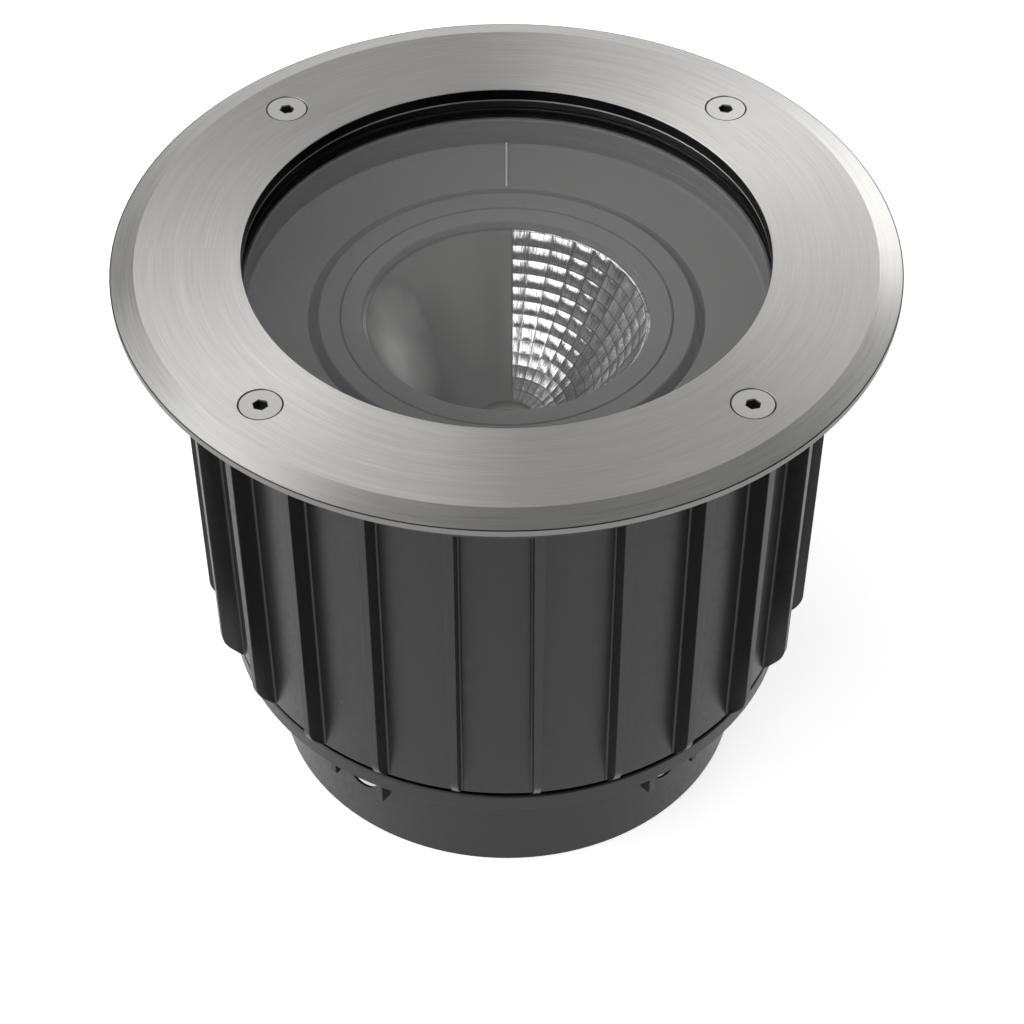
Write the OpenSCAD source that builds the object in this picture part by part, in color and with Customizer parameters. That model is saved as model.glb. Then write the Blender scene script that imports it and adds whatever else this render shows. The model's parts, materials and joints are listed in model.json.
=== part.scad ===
// In-ground recessed light: a ribbed installation sleeve set in concrete, and a
// sealed uplight that drops into it, with a stainless trim ring, a thick glass
// and a half faceted, half smooth reflector that turns inside a matt baffle.
// Lengths are in millimetres. Z points up, and the origin is the middle of the
// sleeve's foot. Depths are counted down from the top face of the trim ring.

/* [Overall] */
// Height from the foot to the top face of the trim ring
total_h = 184.5; // [181:0.5:240]
// Running clearance of the turning parts, on the radius
run_clear = 0.08; // [0.02:0.01:0.1]
// Clearance between parts that are dropped into each other, on the radius
drop_clear = 0.3; // [0.1:0.05:0.6]

/* [Trim ring] */
// Diameter of the opening in the trim ring
opening_d = 150.7; // [148:0.1:170]
// Width of the trim ring from its opening to its rim
trim_w = 37.15; // [36:0.05:50]
// Thickness of the trim ring
trim_t = 4; // [3.6:0.1:6]
// Width of the bevel round the rim
bevel_w = 6.9; // [3:0.1:9]
// Drop of the bevel
bevel_h = 1.85; // [0.5:0.05:3]

/* [Screws] */
// Number of trim screws
trim_screw_count = 4; // [3:1:6]
// Angle of the first trim screw
trim_screw_angle = 45; // [0:1:90]
// Distance of the screws from the mouth of the sleeve
screw_place = 6.65; // [6.5:0.05:9]
// Distance of the screws from the flange edge
screw_inset = 9.75; // [9:0.05:11]
// Diameter of the trim screw thread
trim_screw_d = 6; // [4:0.5:6.5]
// Diameter of the trim screw head
trim_head_d = 12; // [10:0.1:13]
// Width across the flats of the hexagon socket
socket_af = 4; // [2.5:0.1:5]
// Diameter of the screws that hold the housing to the sleeve
sleeve_screw_d = 5; // [3:0.5:6]

/* [Glass and seals] */
// How far the glass reaches past the opening, on the radius
glass_lap = 4.65; // [3.5:0.05:6]
// Thickness of the glass
glass_t = 10; // [8:0.5:12]
// Bevel on the edges of the glass
glass_bevel = 0.8; // [0.3:0.1:1.5]
// Thickness of the gasket above the glass
gasket_t = 1.5; // [1:0.1:3]
// Thickness of the seal under the glass
seal_t = 2; // [1.5:0.1:3]
// Width of the two rubber rings
seal_w = 3.2; // [2:0.1:3.4]

/* [Housing] */
// Thickness of the housing flange
flange_t = 10; // [9:0.5:14]
// Wall round the glass
recess_wall = 4; // [3:0.1:6]
// Thickness of the ledge that carries the glass
ledge_t = 4; // [3:0.1:6]
// Wall of the pot
pot_wall = 3; // [2.5:0.1:4]
// Thickness of the pot floor
floor_t = 5; // [4:0.5:8]
// Draft of the pot, in degrees
pot_draft = 1.2; // [0:0.1:2]
// Height of the fins under the floor, as a share of the whole height
foot_fin_share = 0.0488; // [0.03:0.0001:0.06]
// Number of the fins under the floor
foot_fin_count = 16; // [8:1:24]
// Thickness of a fin under the floor
foot_fin_t = 2.4; // [1.5:0.1:4]
// Space between the fins and the base of the sleeve, as a share of the whole height
pot_gap_share = 0.0401; // [0.02:0.0001:0.06]

/* [Baffle] */
// Depth of the corner between the upright wall and the sloping face
baffle_corner_depth = 26.6; // [24:0.1:28]
// Fall of the sloping face towards the optic
baffle_drop = 2.5; // [0.5:0.1:4]
// Wall of the baffle
baffle_wall = 1.5; // [1:0.1:2]
// Depth of the collar round the optic, below the sloping face
collar_h = 6.1; // [4:0.1:9]
// Width of the index mark on the sloping face
index_w = 0.8; // [0.5:0.1:1.5]
// Height of the index mark
index_h = 0.5; // [0.3:0.1:0.8]

/* [Optic] */
// Diameter of the reflector at its rim, as a share of the opening
reflector_d_share = 0.53882; // [0.46:0.00001:0.56]
// Depth of the reflector from its rim to the bottom of its curve, as a share of
// the whole height
reflector_share = 0.2276; // [0.2:0.0001:0.24]
// Thickness of the reflector
reflector_t = 1.2; // [0.8:0.1:1.6]
// Diameter of the hole for the lamp in the reflector
lamp_hole_d = 18; // [16:0.5:24]
// Rows of facets
facet_rows = 13; // [6:1:16]
// Columns of facets in a full turn
facet_columns = 36; // [24:2:48]
// How much longer the top row is than the mean, as a share
facet_skew = 0.1; // [0:0.01:0.3]
// Place of the split between the two halves, across the axis
split_x = 1.6; // [0:0.1:6]
// Width of the ledge between the bezel and the reflector
rim_ledge = 1.2; // [0.5:0.1:2]
// Width of the bezel ring, as a share of the opening
bezel_share = 0.0418; // [0.03:0.0001:0.05]
// Height of the bezel ring
bezel_h = 2.6; // [1.5:0.1:4]
// Groove between the bezel and the turntable
bezel_groove = 0.4; // [0.2:0.05:0.8]
// Width of the turntable's top face, as a share of the opening
turntable_share = 0.04147; // [0.03:0.00001:0.05]
// Rise of the turntable from the bezel to its outer edge
turntable_rise = 0.8; // [0:0.1:1.5]
// Open gap between the turntable and the baffle, as a share of the opening
optic_gap_share = 0.01891; // [0.013:0.00001:0.025]
// Thickness of the flange that the turntable turns on
track_t = 3; // [2:0.1:4]

/* [Lamp and heat sink] */
// Side of the square lamp board
board_w = 28; // [24:0.5:30]
// Thickness of the lamp board
board_t = 1.6; // [1:0.1:2]
// Diameter of the lamp's lit face
lamp_d = 14; // [8:0.5:15]
// Thickness of the lamp
lamp_t = 0.9; // [0.5:0.1:1.5]
// Height of the lamp holder
holder_h = 5.2; // [4.8:0.1:8]
// Thickness of the heat sink plate
plate_t = 5; // [3:0.5:6]
// Height of the heat sink fins, as a share of the whole height
fin_share = 0.0596; // [0.03:0.0001:0.07]
// Thickness of a heat sink fin
fin_t = 2; // [1:0.1:3]
// Distance between the heat sink fins
fin_pitch = 11; // [9:0.5:14]

/* [Control gear] */
// Length of the control gear, as a share of the opening
gear_l_share = 0.6105; // [0.45:0.0005:0.64]
// Width of the control gear, as a share of the opening
gear_w_share = 0.345; // [0.26:0.0005:0.35]
// Air between the control gear and the heat sink fins
gear_clear = 5.2; // [3:0.1:10]
// Length of the terminal block, as a share of the opening
terminal_l_share = 0.146; // [0.1:0.001:0.16]
// Height of the terminal block, as a share of the control gear's
terminal_share = 0.7; // [0.5:0.01:0.9]
// Number of poles of the terminal block
pole_count = 3; // [2:1:4]
// Distance between the poles
pole_pitch = 8; // [6:0.5:9]
// Diameter of the inner leads
lead_d = 2.2; // [1:0.1:2.4]

/* [Cable entry] */
// Diameter of the gland thread
gland_d = 20; // [16:0.5:22]
// Diameter of the cable that the gland takes
cable_d = 10; // [6:0.5:11]
// Distance of the gland from the axis, as a share of the opening
gland_place_share = 0.2588; // [0.255:0.0001:0.28]
// Height of the gland below the housing
gland_drop = 25; // [22:0.5:32]
// Diameter of the vent plug thread, as a share of the opening
vent_share = 0.0796; // [0.05:0.0001:0.086]

/* [Sleeve] */
// Wall of the sleeve
sleeve_wall = 2.7; // [2:0.1:4]
// Gap between the housing and the sleeve at the top
sleeve_gap = 2; // [1:0.1:4]
// Draft of the sleeve, in degrees
sleeve_draft = 1.08; // [0.3:0.02:1.4]
// Number of ribs
rib_count = 24; // [12:1:32]
// How far a rib stands out from the sleeve
rib_depth = 6.3; // [3:0.1:8]
// Thickness of a rib at the top
rib_t_top = 3.2; // [2:0.1:5]
// Thickness of a rib at its nose
rib_t_nose = 2; // [1.2:0.1:4]
// Height of the slanted nose of a rib
nose_h = 7.4; // [4:0.1:12]
// How far a rib still stands out at its foot
nose_foot = 1; // [0.5:0.1:2]
// Share of the slant that is rounded off at its corner
nose_round = 0.45; // [0.1:0.05:0.9]
// Angle that the ribs are turned by
rib_angle = 5.4; // [-7.5:0.1:7.5]
// Width of the collar past the ribs
collar_lap = 4.2; // [2:0.1:5]
// Thickness of the collar
collar_t = 2.5; // [1.5:0.1:4]

/* [Base] */
// Gap between the sleeve and the base
base_gap = 2; // [1:0.1:4]
// Height of the band
band_h = 6; // [4:0.1:10]
// How far the band stands back from the sleeve
band_step = 0.1; // [0:0.1:2]
// Step from the band in to the skirt
skirt_step = 13.6; // [10:0.1:18]
// Height of the skirt below the band, as a share of the whole height
skirt_share = 0.21735; // [0.2:0.00005:0.3]
// Wall of the base
base_wall = 2.4; // [1.8:0.1:3]
// Diameter of the conduit holes
conduit_d = 12; // [8:0.5:16]
// Depth of the conduit holes below the band
conduit_depth = 16.5; // [14:0.1:20]
// Angle of the conduit holes from the middle plane
conduit_angle = 40; // [30:1:60]
// Angle that the base is turned by
base_angle = 2.3; // [-10:0.1:10]
// Distance between the two guide ribs beside a conduit hole
guide_pitch = 18.6; // [18.4:0.1:24]
// How far a guide rib stands out from the skirt
guide_depth = 3; // [1:0.1:4]
// Height of the spigot that enters the sleeve
spigot_h = 12; // [8:0.5:16]

/* [Hidden] */
$fn = 96;

// One overrun serves every cut
over = 1;
// Colours
black_plastic = "#34363a";
cast_black = "#2b2d30";
stainless = "#b4b5b7";
baffle_grey = "#7b7b7a";
rubber = "#161618";
brass = "#b58e46";
bare_aluminium = "#a9adb0";

// Radii, from the opening outwards
opening_r = opening_d / 2;
trim_r = opening_r + trim_w;
glass_r = opening_r + glass_lap;
recess_r = glass_r + 2 * drop_clear;
recess_out_r = recess_r + recess_wall;
sleeve_in_top_r = recess_out_r + sleeve_gap;
screw_r = sleeve_in_top_r + screw_place;
flange_r = screw_r + screw_inset;
sleeve_out_top_r = sleeve_in_top_r + sleeve_wall;
rib_top_r = sleeve_out_top_r + rib_depth;
sleeve_collar_r = rib_top_r + collar_lap;

// Heights, from the top down
top_z = total_h;
trim_z = top_z - trim_t;
glass_top_z = trim_z - gasket_t;
glass_z = glass_top_z - glass_t;
seat_z = glass_z - seal_t;
flange_z = trim_z - flange_t;
ledge_z = seat_z - ledge_t;

// Sleeve and base
sleeve_top_z = flange_z;
band_z = skirt_share * total_h;
band_top_z = band_z + band_h;
sleeve_z = band_top_z + base_gap;
sleeve_length = sleeve_top_z - sleeve_z;
function sleeve_out_r(z) = sleeve_out_top_r - (sleeve_top_z - z) * tan(sleeve_draft);
function sleeve_in_r(z) = sleeve_out_r(z) - sleeve_wall;
band_r = sleeve_out_r(sleeve_z) - band_step;
skirt_r = band_r - skirt_step;
skirt_in_r = skirt_r - base_wall;
web_z = band_z + base_wall;
spigot_top_z = sleeve_z + spigot_h;
spigot_clear = drop_clear / 2;
bead_h = 0.6 * base_wall / 2.4;
bead_z = spigot_top_z - spigot_h / 4;
bead_groove = bead_h + spigot_clear;
nib_count = 8;
nib_w = 3 * base_gap;
nose_steps = 6;

// Housing pot
pot_out_top_r = recess_out_r - recess_wall / 2;
foot_fin_h = foot_fin_share * total_h;
floor_z = web_z + pot_gap_share * total_h + foot_fin_h;
floor_top_z = floor_z + floor_t;
function pot_out_r(z) = pot_out_top_r - (ledge_z - z) * tan(pot_draft);
function pot_in_r(z) = pot_out_r(z) - pot_wall;
post_r = 5 * pot_wall / 3;
post_place = pot_in_r(floor_top_z) - post_r - pot_wall / 2;
post_angles = [60, 120, 270];
post_screw_d = 4;
foot_fin_in = post_place - 2 * post_r;
pad_h = 2;

// Optic, from the axis outwards
rim_r = reflector_d_share * opening_d / 2;
bezel_w = bezel_share * opening_d;
turntable_w = turntable_share * opening_d;
optic_gap = optic_gap_share * opening_d;
bezel_in_r = rim_r + rim_ledge;
bezel_out_r = bezel_in_r + bezel_w;
turntable_in_r = bezel_out_r + bezel_groove;
turntable_r = turntable_in_r + turntable_w;
baffle_hole_r = turntable_r + optic_gap;
baffle_hole_z = top_z - baffle_corner_depth - baffle_drop;
bezel_top_z = baffle_hole_z + 0.1 * bezel_h / 2.6;
bezel_z = bezel_top_z - bezel_h;
reflector_flange_t = 1.5 * reflector_t / 1.2;
shelf_z = bezel_z - reflector_flange_t;
reflector_depth = reflector_share * total_h;
vertex_z = bezel_z - reflector_depth;
curve_length = rim_r * rim_r / (2 * reflector_depth);

// Baffle and what carries it
baffle_top_z = glass_z - baffle_wall / 3;
baffle_corner_z = top_z - baffle_corner_depth;
baffle_wall_r = opening_r - baffle_wall / 2;
baffle_collar_r = baffle_hole_r + baffle_wall;
baffle_foot_z = baffle_hole_z - collar_h;
ledge_in_r = baffle_wall_r + baffle_wall + 2 * drop_clear;
ring_t = 2.8 * track_t / 3;
ring_z = baffle_foot_z - ring_t;
ring_out_r = baffle_collar_r + 0.8 * baffle_wall / 1.5;
ring_in_r = turntable_r + optic_gap / 2;
track_top_z = ring_z - drop_clear;
track_z = track_top_z - track_t;
track_r = baffle_collar_r - drop_clear;
carrier_in_r = track_r + drop_clear;
carrier_bore_r = ring_out_r + drop_clear / 3;
carrier_wall = 2.6;
carrier_r = carrier_bore_r + carrier_wall;
carrier_top_z = baffle_hole_z - 2 * baffle_wall;
spigot_r = turntable_r - 0.088 * turntable_w;
spigot_z = track_z - track_t;

// Lamp, holder and heat sink
lamp_hole_r = lamp_hole_d / 2;
reflector_foot_z = vertex_z + reflector_depth * pow(lamp_hole_r / rim_r, 2) - 1.4 * reflector_t;
reflector_gap = 1;
holder_top_z = reflector_foot_z - reflector_gap;
plate_top_z = holder_top_z - holder_h;
plate_z = plate_top_z - plate_t;
fin_h = fin_share * total_h;
fin_z = plate_z - fin_h;
plate_r = pot_in_r(plate_z) - 2 * drop_clear;
fin_r = post_place - post_r - fin_t;
fin_count = 2 * floor(fin_r / fin_pitch);
foot_lug_angles = [90, 240, 300];
carrier_screw_d = 3;
foot_lug_place = carrier_r + 0.9 * carrier_screw_d + drop_clear;

// Control gear and terminal block, in line through the axis
gear_gap = 10;
gear_l = gear_l_share * opening_d;
gear_w = gear_w_share * opening_d;
terminal_l = terminal_l_share * opening_d;
gland_place = gland_place_share * opening_d;
vent_d = vent_share * opening_d;
gear_h = fin_z - gear_clear - floor_top_z;
terminal_h = terminal_share * gear_h;
gear_x0 = -(gear_l + gear_gap + terminal_l) / 2;
gear_x1 = gear_x0 + gear_l;
terminal_x = gear_x1 + gear_gap;
terminal_w = pole_count * pole_pitch;
lead_r = lead_d / 2;
lead_y = lead_d * 0.9;
lead_bend = 5;
lead_x = gear_x1 + lead_bend;

// Outline helpers
module rounded_plate(l, w, r) {
    square([l - 2 * r, w], center = true);
    square([l, w - 2 * r], center = true);
    for (x = [-1, 1], y = [-1, 1])
        translate([x * (l / 2 - r), y * (w / 2 - r)]) circle(r);
}

// A ring between two radii and two heights
module ring(in_r, out_r, z0, z1) {
    rotate_extrude()
        polygon([[in_r, z0], [out_r, z0], [out_r, z1], [in_r, z1]]);
}

// Copies a child to places on a circle
module around(place, angles) {
    for (a = angles) rotate(a) translate([place, 0, 0]) children();
}

// Angles of a number of equal steps, from a first angle
function steps(count, first = 0) = [for (i = [0 : count - 1]) first + i * 360 / count];

// A countersunk screw with its head flush with the given height
module countersunk_screw(d, head_d, length, socket) {
    difference() {
        rotate_extrude()
            polygon([
                [0, 0], [head_d / 2, 0], [head_d / 2, -head_d / 30],
                [d / 2, -head_d / 30 - (head_d - d) / 2],
                [d / 2, d / 8 - length], [d / 2 - d / 8, -length], [0, -length]
            ]);
        translate([0, 0, -socket * 0.6])
            cylinder(d = socket / cos(30), h = socket, $fn = 6);
    }
}

// A pan head screw that stands on the given height
module pan_screw(d, length) {
    difference() {
        rotate_extrude()
            polygon([
                [0, d * 0.6], [d * 0.7, d * 0.6], [d * 0.9, d * 0.4], [d * 0.9, 0],
                [d / 2, 0], [d / 2, -length], [0, -length]
            ]);
        for (a = [0, 90]) rotate(a)
            translate([-d * 0.55, -d * 0.1, d * 0.3]) cube([d * 1.1, d * 0.2, d]);
    }
}

// Sleeve
// Outline of the ribs seen from the side: a slant up from the foot, and a corner
// that curves from the slant to the outer face
module rib_outline() {
    root = sleeve_wall / 2;
    foot = [sleeve_out_r(sleeve_z) + nose_foot, sleeve_z + nose_foot / 2];
    corner = [sleeve_out_r(sleeve_z + nose_h) + rib_depth, sleeve_z + nose_h];
    start = corner + nose_round * (foot - corner);
    end = [sleeve_out_r(corner[1] + nose_round * nose_h) + rib_depth, corner[1] + nose_round * nose_h];
    polygon(concat(
        [[sleeve_out_r(sleeve_z) - root, foot[1]], foot],
        [for (i = [0 : nose_steps]) let (t = i / nose_steps)
            pow(1 - t, 2) * start + 2 * t * (1 - t) * corner + t * t * end],
        [[rib_top_r, sleeve_top_z - collar_t / 2], [sleeve_out_top_r - root, sleeve_top_z - collar_t / 2]]
    ));
}

// One rib: a plate of that outline, cut thinner towards its nose
module rib() {
    root_r = sleeve_out_r(sleeve_z) - sleeve_wall;
    intersection() {
        translate([0, rib_t_top / 2 + over, 0]) rotate([90, 0, 0])
            linear_extrude(rib_t_top + 2 * over) rib_outline();
        translate([root_r, 0, 0]) rotate([90, 0, 90])
            linear_extrude(rib_top_r + over - root_r)
                polygon([
                    [-rib_t_nose / 2, sleeve_z - over], [rib_t_nose / 2, sleeve_z - over],
                    [rib_t_top / 2, sleeve_top_z], [-rib_t_top / 2, sleeve_top_z]
                ]);
    }
}

sleeve_boss_r = sleeve_screw_d;
sleeve_boss_h = 12;
sleeve_insert_wall = 1;
insert_h = 9.5;

module sleeve_body() {
    color(black_plastic)
    difference() {
        union() {
            rotate_extrude()
                polygon([
                    [sleeve_in_r(sleeve_z), sleeve_z], [sleeve_out_r(sleeve_z), sleeve_z],
                    [sleeve_out_r(sleeve_top_z - collar_t), sleeve_top_z - collar_t],
                    [sleeve_collar_r, sleeve_top_z - collar_t], [sleeve_collar_r, sleeve_top_z],
                    [sleeve_in_top_r, sleeve_top_z]
                ]);
            for (a = steps(rib_count, rib_angle)) rotate(a) rib();
            around(screw_r, [0, 180])
                translate([0, 0, sleeve_top_z - sleeve_boss_h])
                    cylinder(r = sleeve_boss_r, h = sleeve_boss_h);
        }
        // seat of the snap bead
        ring(sleeve_in_r(sleeve_z) - over, sleeve_in_r(bead_z) + bead_groove,
            bead_z - bead_h - spigot_clear, bead_z + bead_h + spigot_clear);
        around(screw_r, [0, 180])
            translate([0, 0, sleeve_top_z - insert_h])
                cylinder(d = sleeve_screw_d + 2 * sleeve_insert_wall, h = insert_h + over);
    }
}

module sleeve_inserts() {
    color(brass)
    around(screw_r, [0, 180])
        ring(sleeve_screw_d / 2, sleeve_screw_d / 2 + sleeve_insert_wall - run_clear / 2,
            sleeve_top_z - insert_h, sleeve_top_z);
}

// Base
conduit_z = band_z - conduit_depth;
conduit_angles = [for (a = [-1, 1]) for (b = [90, 270]) b + base_angle + a * conduit_angle];
// Thin lip round a conduit hole, in front of a wider pocket
conduit_lip = base_wall / 3;
pocket_d = 1.5 * conduit_d;
guide_t = 2;
guide_bottom_z = conduit_z - conduit_d / 3;

// Two ribs that guide a conduit to its hole
module conduit_guides() {
    for (y = [-1, 1])
        translate([0, y * guide_pitch / 2 + guide_t / 2, 0])
            rotate([90, 0, 0])
                linear_extrude(guide_t)
                    polygon([
                        [skirt_r - base_wall / 2, guide_bottom_z],
                        [skirt_r + 0.8 * guide_depth, guide_bottom_z],
                        [skirt_r + guide_depth, guide_bottom_z + 0.2 * guide_depth],
                        [skirt_r + guide_depth, band_z + base_wall / 2],
                        [skirt_r - base_wall / 2, band_z + base_wall / 2]
                    ]);
}

module base_ring() {
    edge = base_wall / 6;
    spigot_out_r = sleeve_in_r(band_top_z) - spigot_clear;
    spigot_top_r = sleeve_in_r(spigot_top_z) - spigot_clear;
    color(black_plastic)
    difference() {
        union() {
            rotate_extrude()
                polygon([
                    [skirt_in_r, 0], [skirt_r - edge, 0], [skirt_r, edge],
                    [skirt_r, band_z], [band_r - edge, band_z], [band_r, band_z + edge],
                    [band_r, band_top_z - edge], [band_r - edge, band_top_z],
                    [spigot_out_r, band_top_z],
                    [sleeve_in_r(bead_z - bead_h) - spigot_clear, bead_z - bead_h],
                    [sleeve_in_r(bead_z) - spigot_clear + bead_h, bead_z],
                    [sleeve_in_r(bead_z + bead_h) - spigot_clear, bead_z + bead_h],
                    [spigot_top_r, spigot_top_z], [spigot_top_r - base_wall, spigot_top_z],
                    [spigot_out_r - base_wall, web_z], [skirt_in_r, web_z]
                ]);
            for (a = conduit_angles) rotate(a) conduit_guides();
            // nibs that hold the sleeve off the band
            for (a = steps(nib_count, rib_angle)) rotate(a)
                translate([spigot_out_r - edge, -nib_w / 2, band_top_z - edge])
                    cube([0.6 * sleeve_wall + edge, nib_w, base_gap + edge]);
        }
        for (a = conduit_angles) rotate(a)
            translate([0, 0, conduit_z]) rotate([0, 90, 0]) {
                cylinder(d = conduit_d, h = skirt_r + over);
                cylinder(d = pocket_d, h = skirt_r - conduit_lip);
            }
    }
}

// Housing
head_clear = 0.3;
housing_head_d = 1.84 * sleeve_screw_d;
insert_wall = 1.5;

module cable_pads() {
    for (y = [-1, 1]) translate([0, y * gland_place, floor_z - pad_h])
        cylinder(d = 1.4 * gland_d, h = pad_h + pot_wall);
}

vent_place = [gland_place * 1.08, -gland_place * 0.62];

// The casting is one piece, made here as rim, wall and floor
rim_z = ledge_z - pot_wall;

module housing_rim() {
    color(cast_black)
    difference() {
        rotate_extrude()
            polygon([
                [pot_in_r(rim_z), rim_z], [pot_out_r(rim_z), rim_z],
                [pot_out_r(ledge_z - recess_wall / 2), ledge_z - recess_wall / 2],
                [recess_out_r, ledge_z], [recess_out_r, flange_z],
                [flange_r, flange_z], [flange_r, trim_z],
                [recess_r, trim_z], [recess_r, seat_z],
                [ledge_in_r, seat_z], [ledge_in_r, ledge_z]
            ]);
        around(screw_r, steps(trim_screw_count, trim_screw_angle))
            translate([0, 0, flange_z - over])
                cylinder(d = trim_screw_d + 2 * insert_wall, h = flange_t + 2 * over);
        // clearance holes and countersinks of the sleeve screws
        around(screw_r, [0, 180]) {
            translate([0, 0, flange_z - over])
                cylinder(d = sleeve_screw_d + 2 * head_clear, h = flange_t + 2 * over);
            translate([0, 0, trim_z]) rotate_extrude()
                polygon([
                    [0, over], [housing_head_d / 2 + head_clear, over],
                    [housing_head_d / 2 + head_clear, -head_clear - housing_head_d / 30],
                    [sleeve_screw_d / 2 + head_clear,
                        -head_clear - housing_head_d / 30 - (housing_head_d - sleeve_screw_d) / 2],
                    [0, -head_clear - housing_head_d / 30 - (housing_head_d - sleeve_screw_d) / 2]
                ]);
        }
    }
}

module housing_wall() {
    color(cast_black)
    rotate_extrude()
        polygon([
            [pot_in_r(floor_top_z), floor_top_z], [pot_out_r(floor_top_z), floor_top_z],
            [pot_out_r(rim_z), rim_z], [pot_in_r(rim_z), rim_z]
        ]);
}

// Webs that tie the posts to the wall
module post_webs() {
    intersection() {
        around(post_place, post_angles)
            translate([0, -pot_wall / 2, floor_z + pot_wall])
                cube([post_r + 2 * pot_wall, pot_wall, plate_z - floor_z - 3 * pot_wall]);
        rotate_extrude()
            polygon([
                [0, floor_z], [pot_in_r(floor_top_z), floor_z],
                [pot_in_r(floor_top_z), floor_top_z], [pot_in_r(plate_z), plate_z], [0, plate_z]
            ]);
    }
}

module housing_floor() {
    color(cast_black)
    difference() {
        union() {
            rotate_extrude()
                polygon([
                    [0, floor_z], [pot_out_r(floor_z) - pot_wall, floor_z],
                    [pot_out_r(floor_z + pot_wall), floor_z + pot_wall],
                    [pot_out_r(floor_top_z), floor_top_z], [0, floor_top_z]
                ]);
            // posts that carry the heat sink
            around(post_place, post_angles)
                translate([0, 0, floor_z + pot_wall])
                    cylinder(r = post_r, h = plate_z - floor_z - pot_wall);
            post_webs();
            // cooling fins under the floor
            for (a = steps(foot_fin_count, 180 / foot_fin_count)) rotate(a)
                translate([foot_fin_in, -foot_fin_t / 2, floor_z - foot_fin_h])
                    cube([pot_out_r(floor_z) - pot_wall - foot_fin_in, foot_fin_t, foot_fin_h + over]);
            cable_pads();
            translate([earth_place[0], earth_place[1], floor_z + pot_wall])
                cylinder(d = 2 * earth_screw_d, h = floor_top_z - floor_z - pot_wall + earth_boss_h);
        }
        for (p = ear_places) translate([p[0], p[1], floor_top_z - 0.8 * floor_t])
            cylinder(d = ear_screw_d + run_clear, h = floor_t);
        translate([earth_place[0], earth_place[1], floor_top_z - 0.8 * floor_t])
            cylinder(d = earth_screw_d + run_clear, h = floor_t + earth_boss_h);
        around(post_place, post_angles)
            translate([0, 0, plate_z - 3 * post_screw_d])
                cylinder(d = post_screw_d + run_clear, h = 3 * post_screw_d + over);
        for (y = [-1, 1]) translate([0, y * gland_place, floor_z - pad_h - over])
            cylinder(d = gland_d + run_clear, h = floor_t + pad_h + 2 * over);
        translate([vent_place[0], vent_place[1], floor_z - over])
            cylinder(d = vent_d + run_clear, h = floor_t + 2 * over);
    }
}

module trim_inserts() {
    color(stainless)
    around(screw_r, steps(trim_screw_count, trim_screw_angle))
        ring(trim_screw_d / 2, trim_screw_d / 2 + insert_wall - run_clear / 2,
            flange_z, trim_z);
}

module housing_screws() {
    color(stainless)
    around(screw_r, [0, 180])
        translate([0, 0, trim_z - head_clear])
            countersunk_screw(sleeve_screw_d - run_clear, housing_head_d,
                flange_t + insert_h - head_clear - over, sleeve_screw_d * 0.6);
}

// Baffle
// Height of the sloping face at a radius
function baffle_face_z(r) =
    baffle_hole_z + baffle_drop * (r - baffle_hole_r) / (baffle_wall_r - baffle_hole_r);

module baffle() {
    color(baffle_grey) {
        rotate_extrude()
            polygon([
                [baffle_wall_r, baffle_corner_z], [baffle_hole_r, baffle_hole_z],
                [baffle_hole_r, baffle_foot_z], [baffle_collar_r, baffle_foot_z],
                [baffle_collar_r, baffle_face_z(baffle_collar_r) - baffle_wall],
                [baffle_wall_r + baffle_wall, baffle_corner_z - baffle_wall],
                [baffle_wall_r + baffle_wall, baffle_top_z],
                [baffle_wall_r + baffle_wall / 3, baffle_top_z],
                [baffle_wall_r, baffle_top_z - baffle_wall / 3]
            ]);
        // index mark, on the sloping face and a little way up the wall
        rotate([90, 0, 90]) translate([0, 0, -index_w / 2])
            linear_extrude(index_w)
                polygon([
                    [baffle_hole_r + index_h, baffle_hole_z - baffle_wall / 2],
                    [baffle_hole_r + index_h, baffle_hole_z + index_h],
                    [baffle_wall_r - index_h, baffle_corner_z + index_h],
                    [baffle_wall_r - index_h, baffle_corner_z + 5 * index_h],
                    [baffle_wall_r + baffle_wall / 2, baffle_corner_z + 5 * index_h],
                    [baffle_wall_r + baffle_wall / 2, baffle_corner_z - baffle_wall / 2]
                ]);
    }
}

// What carries the optic
lug_r = 4;
window_w = 44;

module optic_carrier() {
    color(cast_black)
    difference() {
        union() {
            rotate_extrude()
                polygon([
                    [carrier_in_r, plate_top_z], [carrier_r, plate_top_z],
                    [carrier_r, carrier_top_z], [carrier_bore_r, carrier_top_z],
                    [carrier_bore_r, ring_z], [carrier_in_r, ring_z],
                    [carrier_in_r, track_z], [spigot_r + run_clear, track_z],
                    [spigot_r + run_clear, spigot_z], [carrier_in_r, spigot_z - track_t]
                ]);
            around(foot_lug_place, foot_lug_angles)
                translate([0, 0, plate_top_z]) cylinder(r = lug_r, h = track_t);
        }
        around(foot_lug_place, foot_lug_angles)
            translate([0, 0, plate_top_z - over])
                cylinder(d = carrier_screw_d + run_clear, h = track_t + 2 * over);
        // keeps the lugs out of the bore
        translate([0, 0, plate_top_z - over])
            cylinder(r = carrier_in_r, h = track_t + 2 * over);
        // windows that save weight between the feet
        for (a = foot_lug_angles) rotate(a + 180)
            translate([0, -window_w / 2, plate_top_z + 2 * track_t])
                cube([carrier_r + over, window_w, spigot_z - plate_top_z - 5 * track_t]);
    }
}

module carrier_screws() {
    color(stainless)
    around(foot_lug_place, foot_lug_angles)
        translate([0, 0, plate_top_z + track_t])
            pan_screw(carrier_screw_d, track_t + 0.7 * plate_t);
}

module retaining_ring() {
    color(cast_black) ring(ring_in_r, ring_out_r, ring_z, ring_z + ring_t);
}

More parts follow.
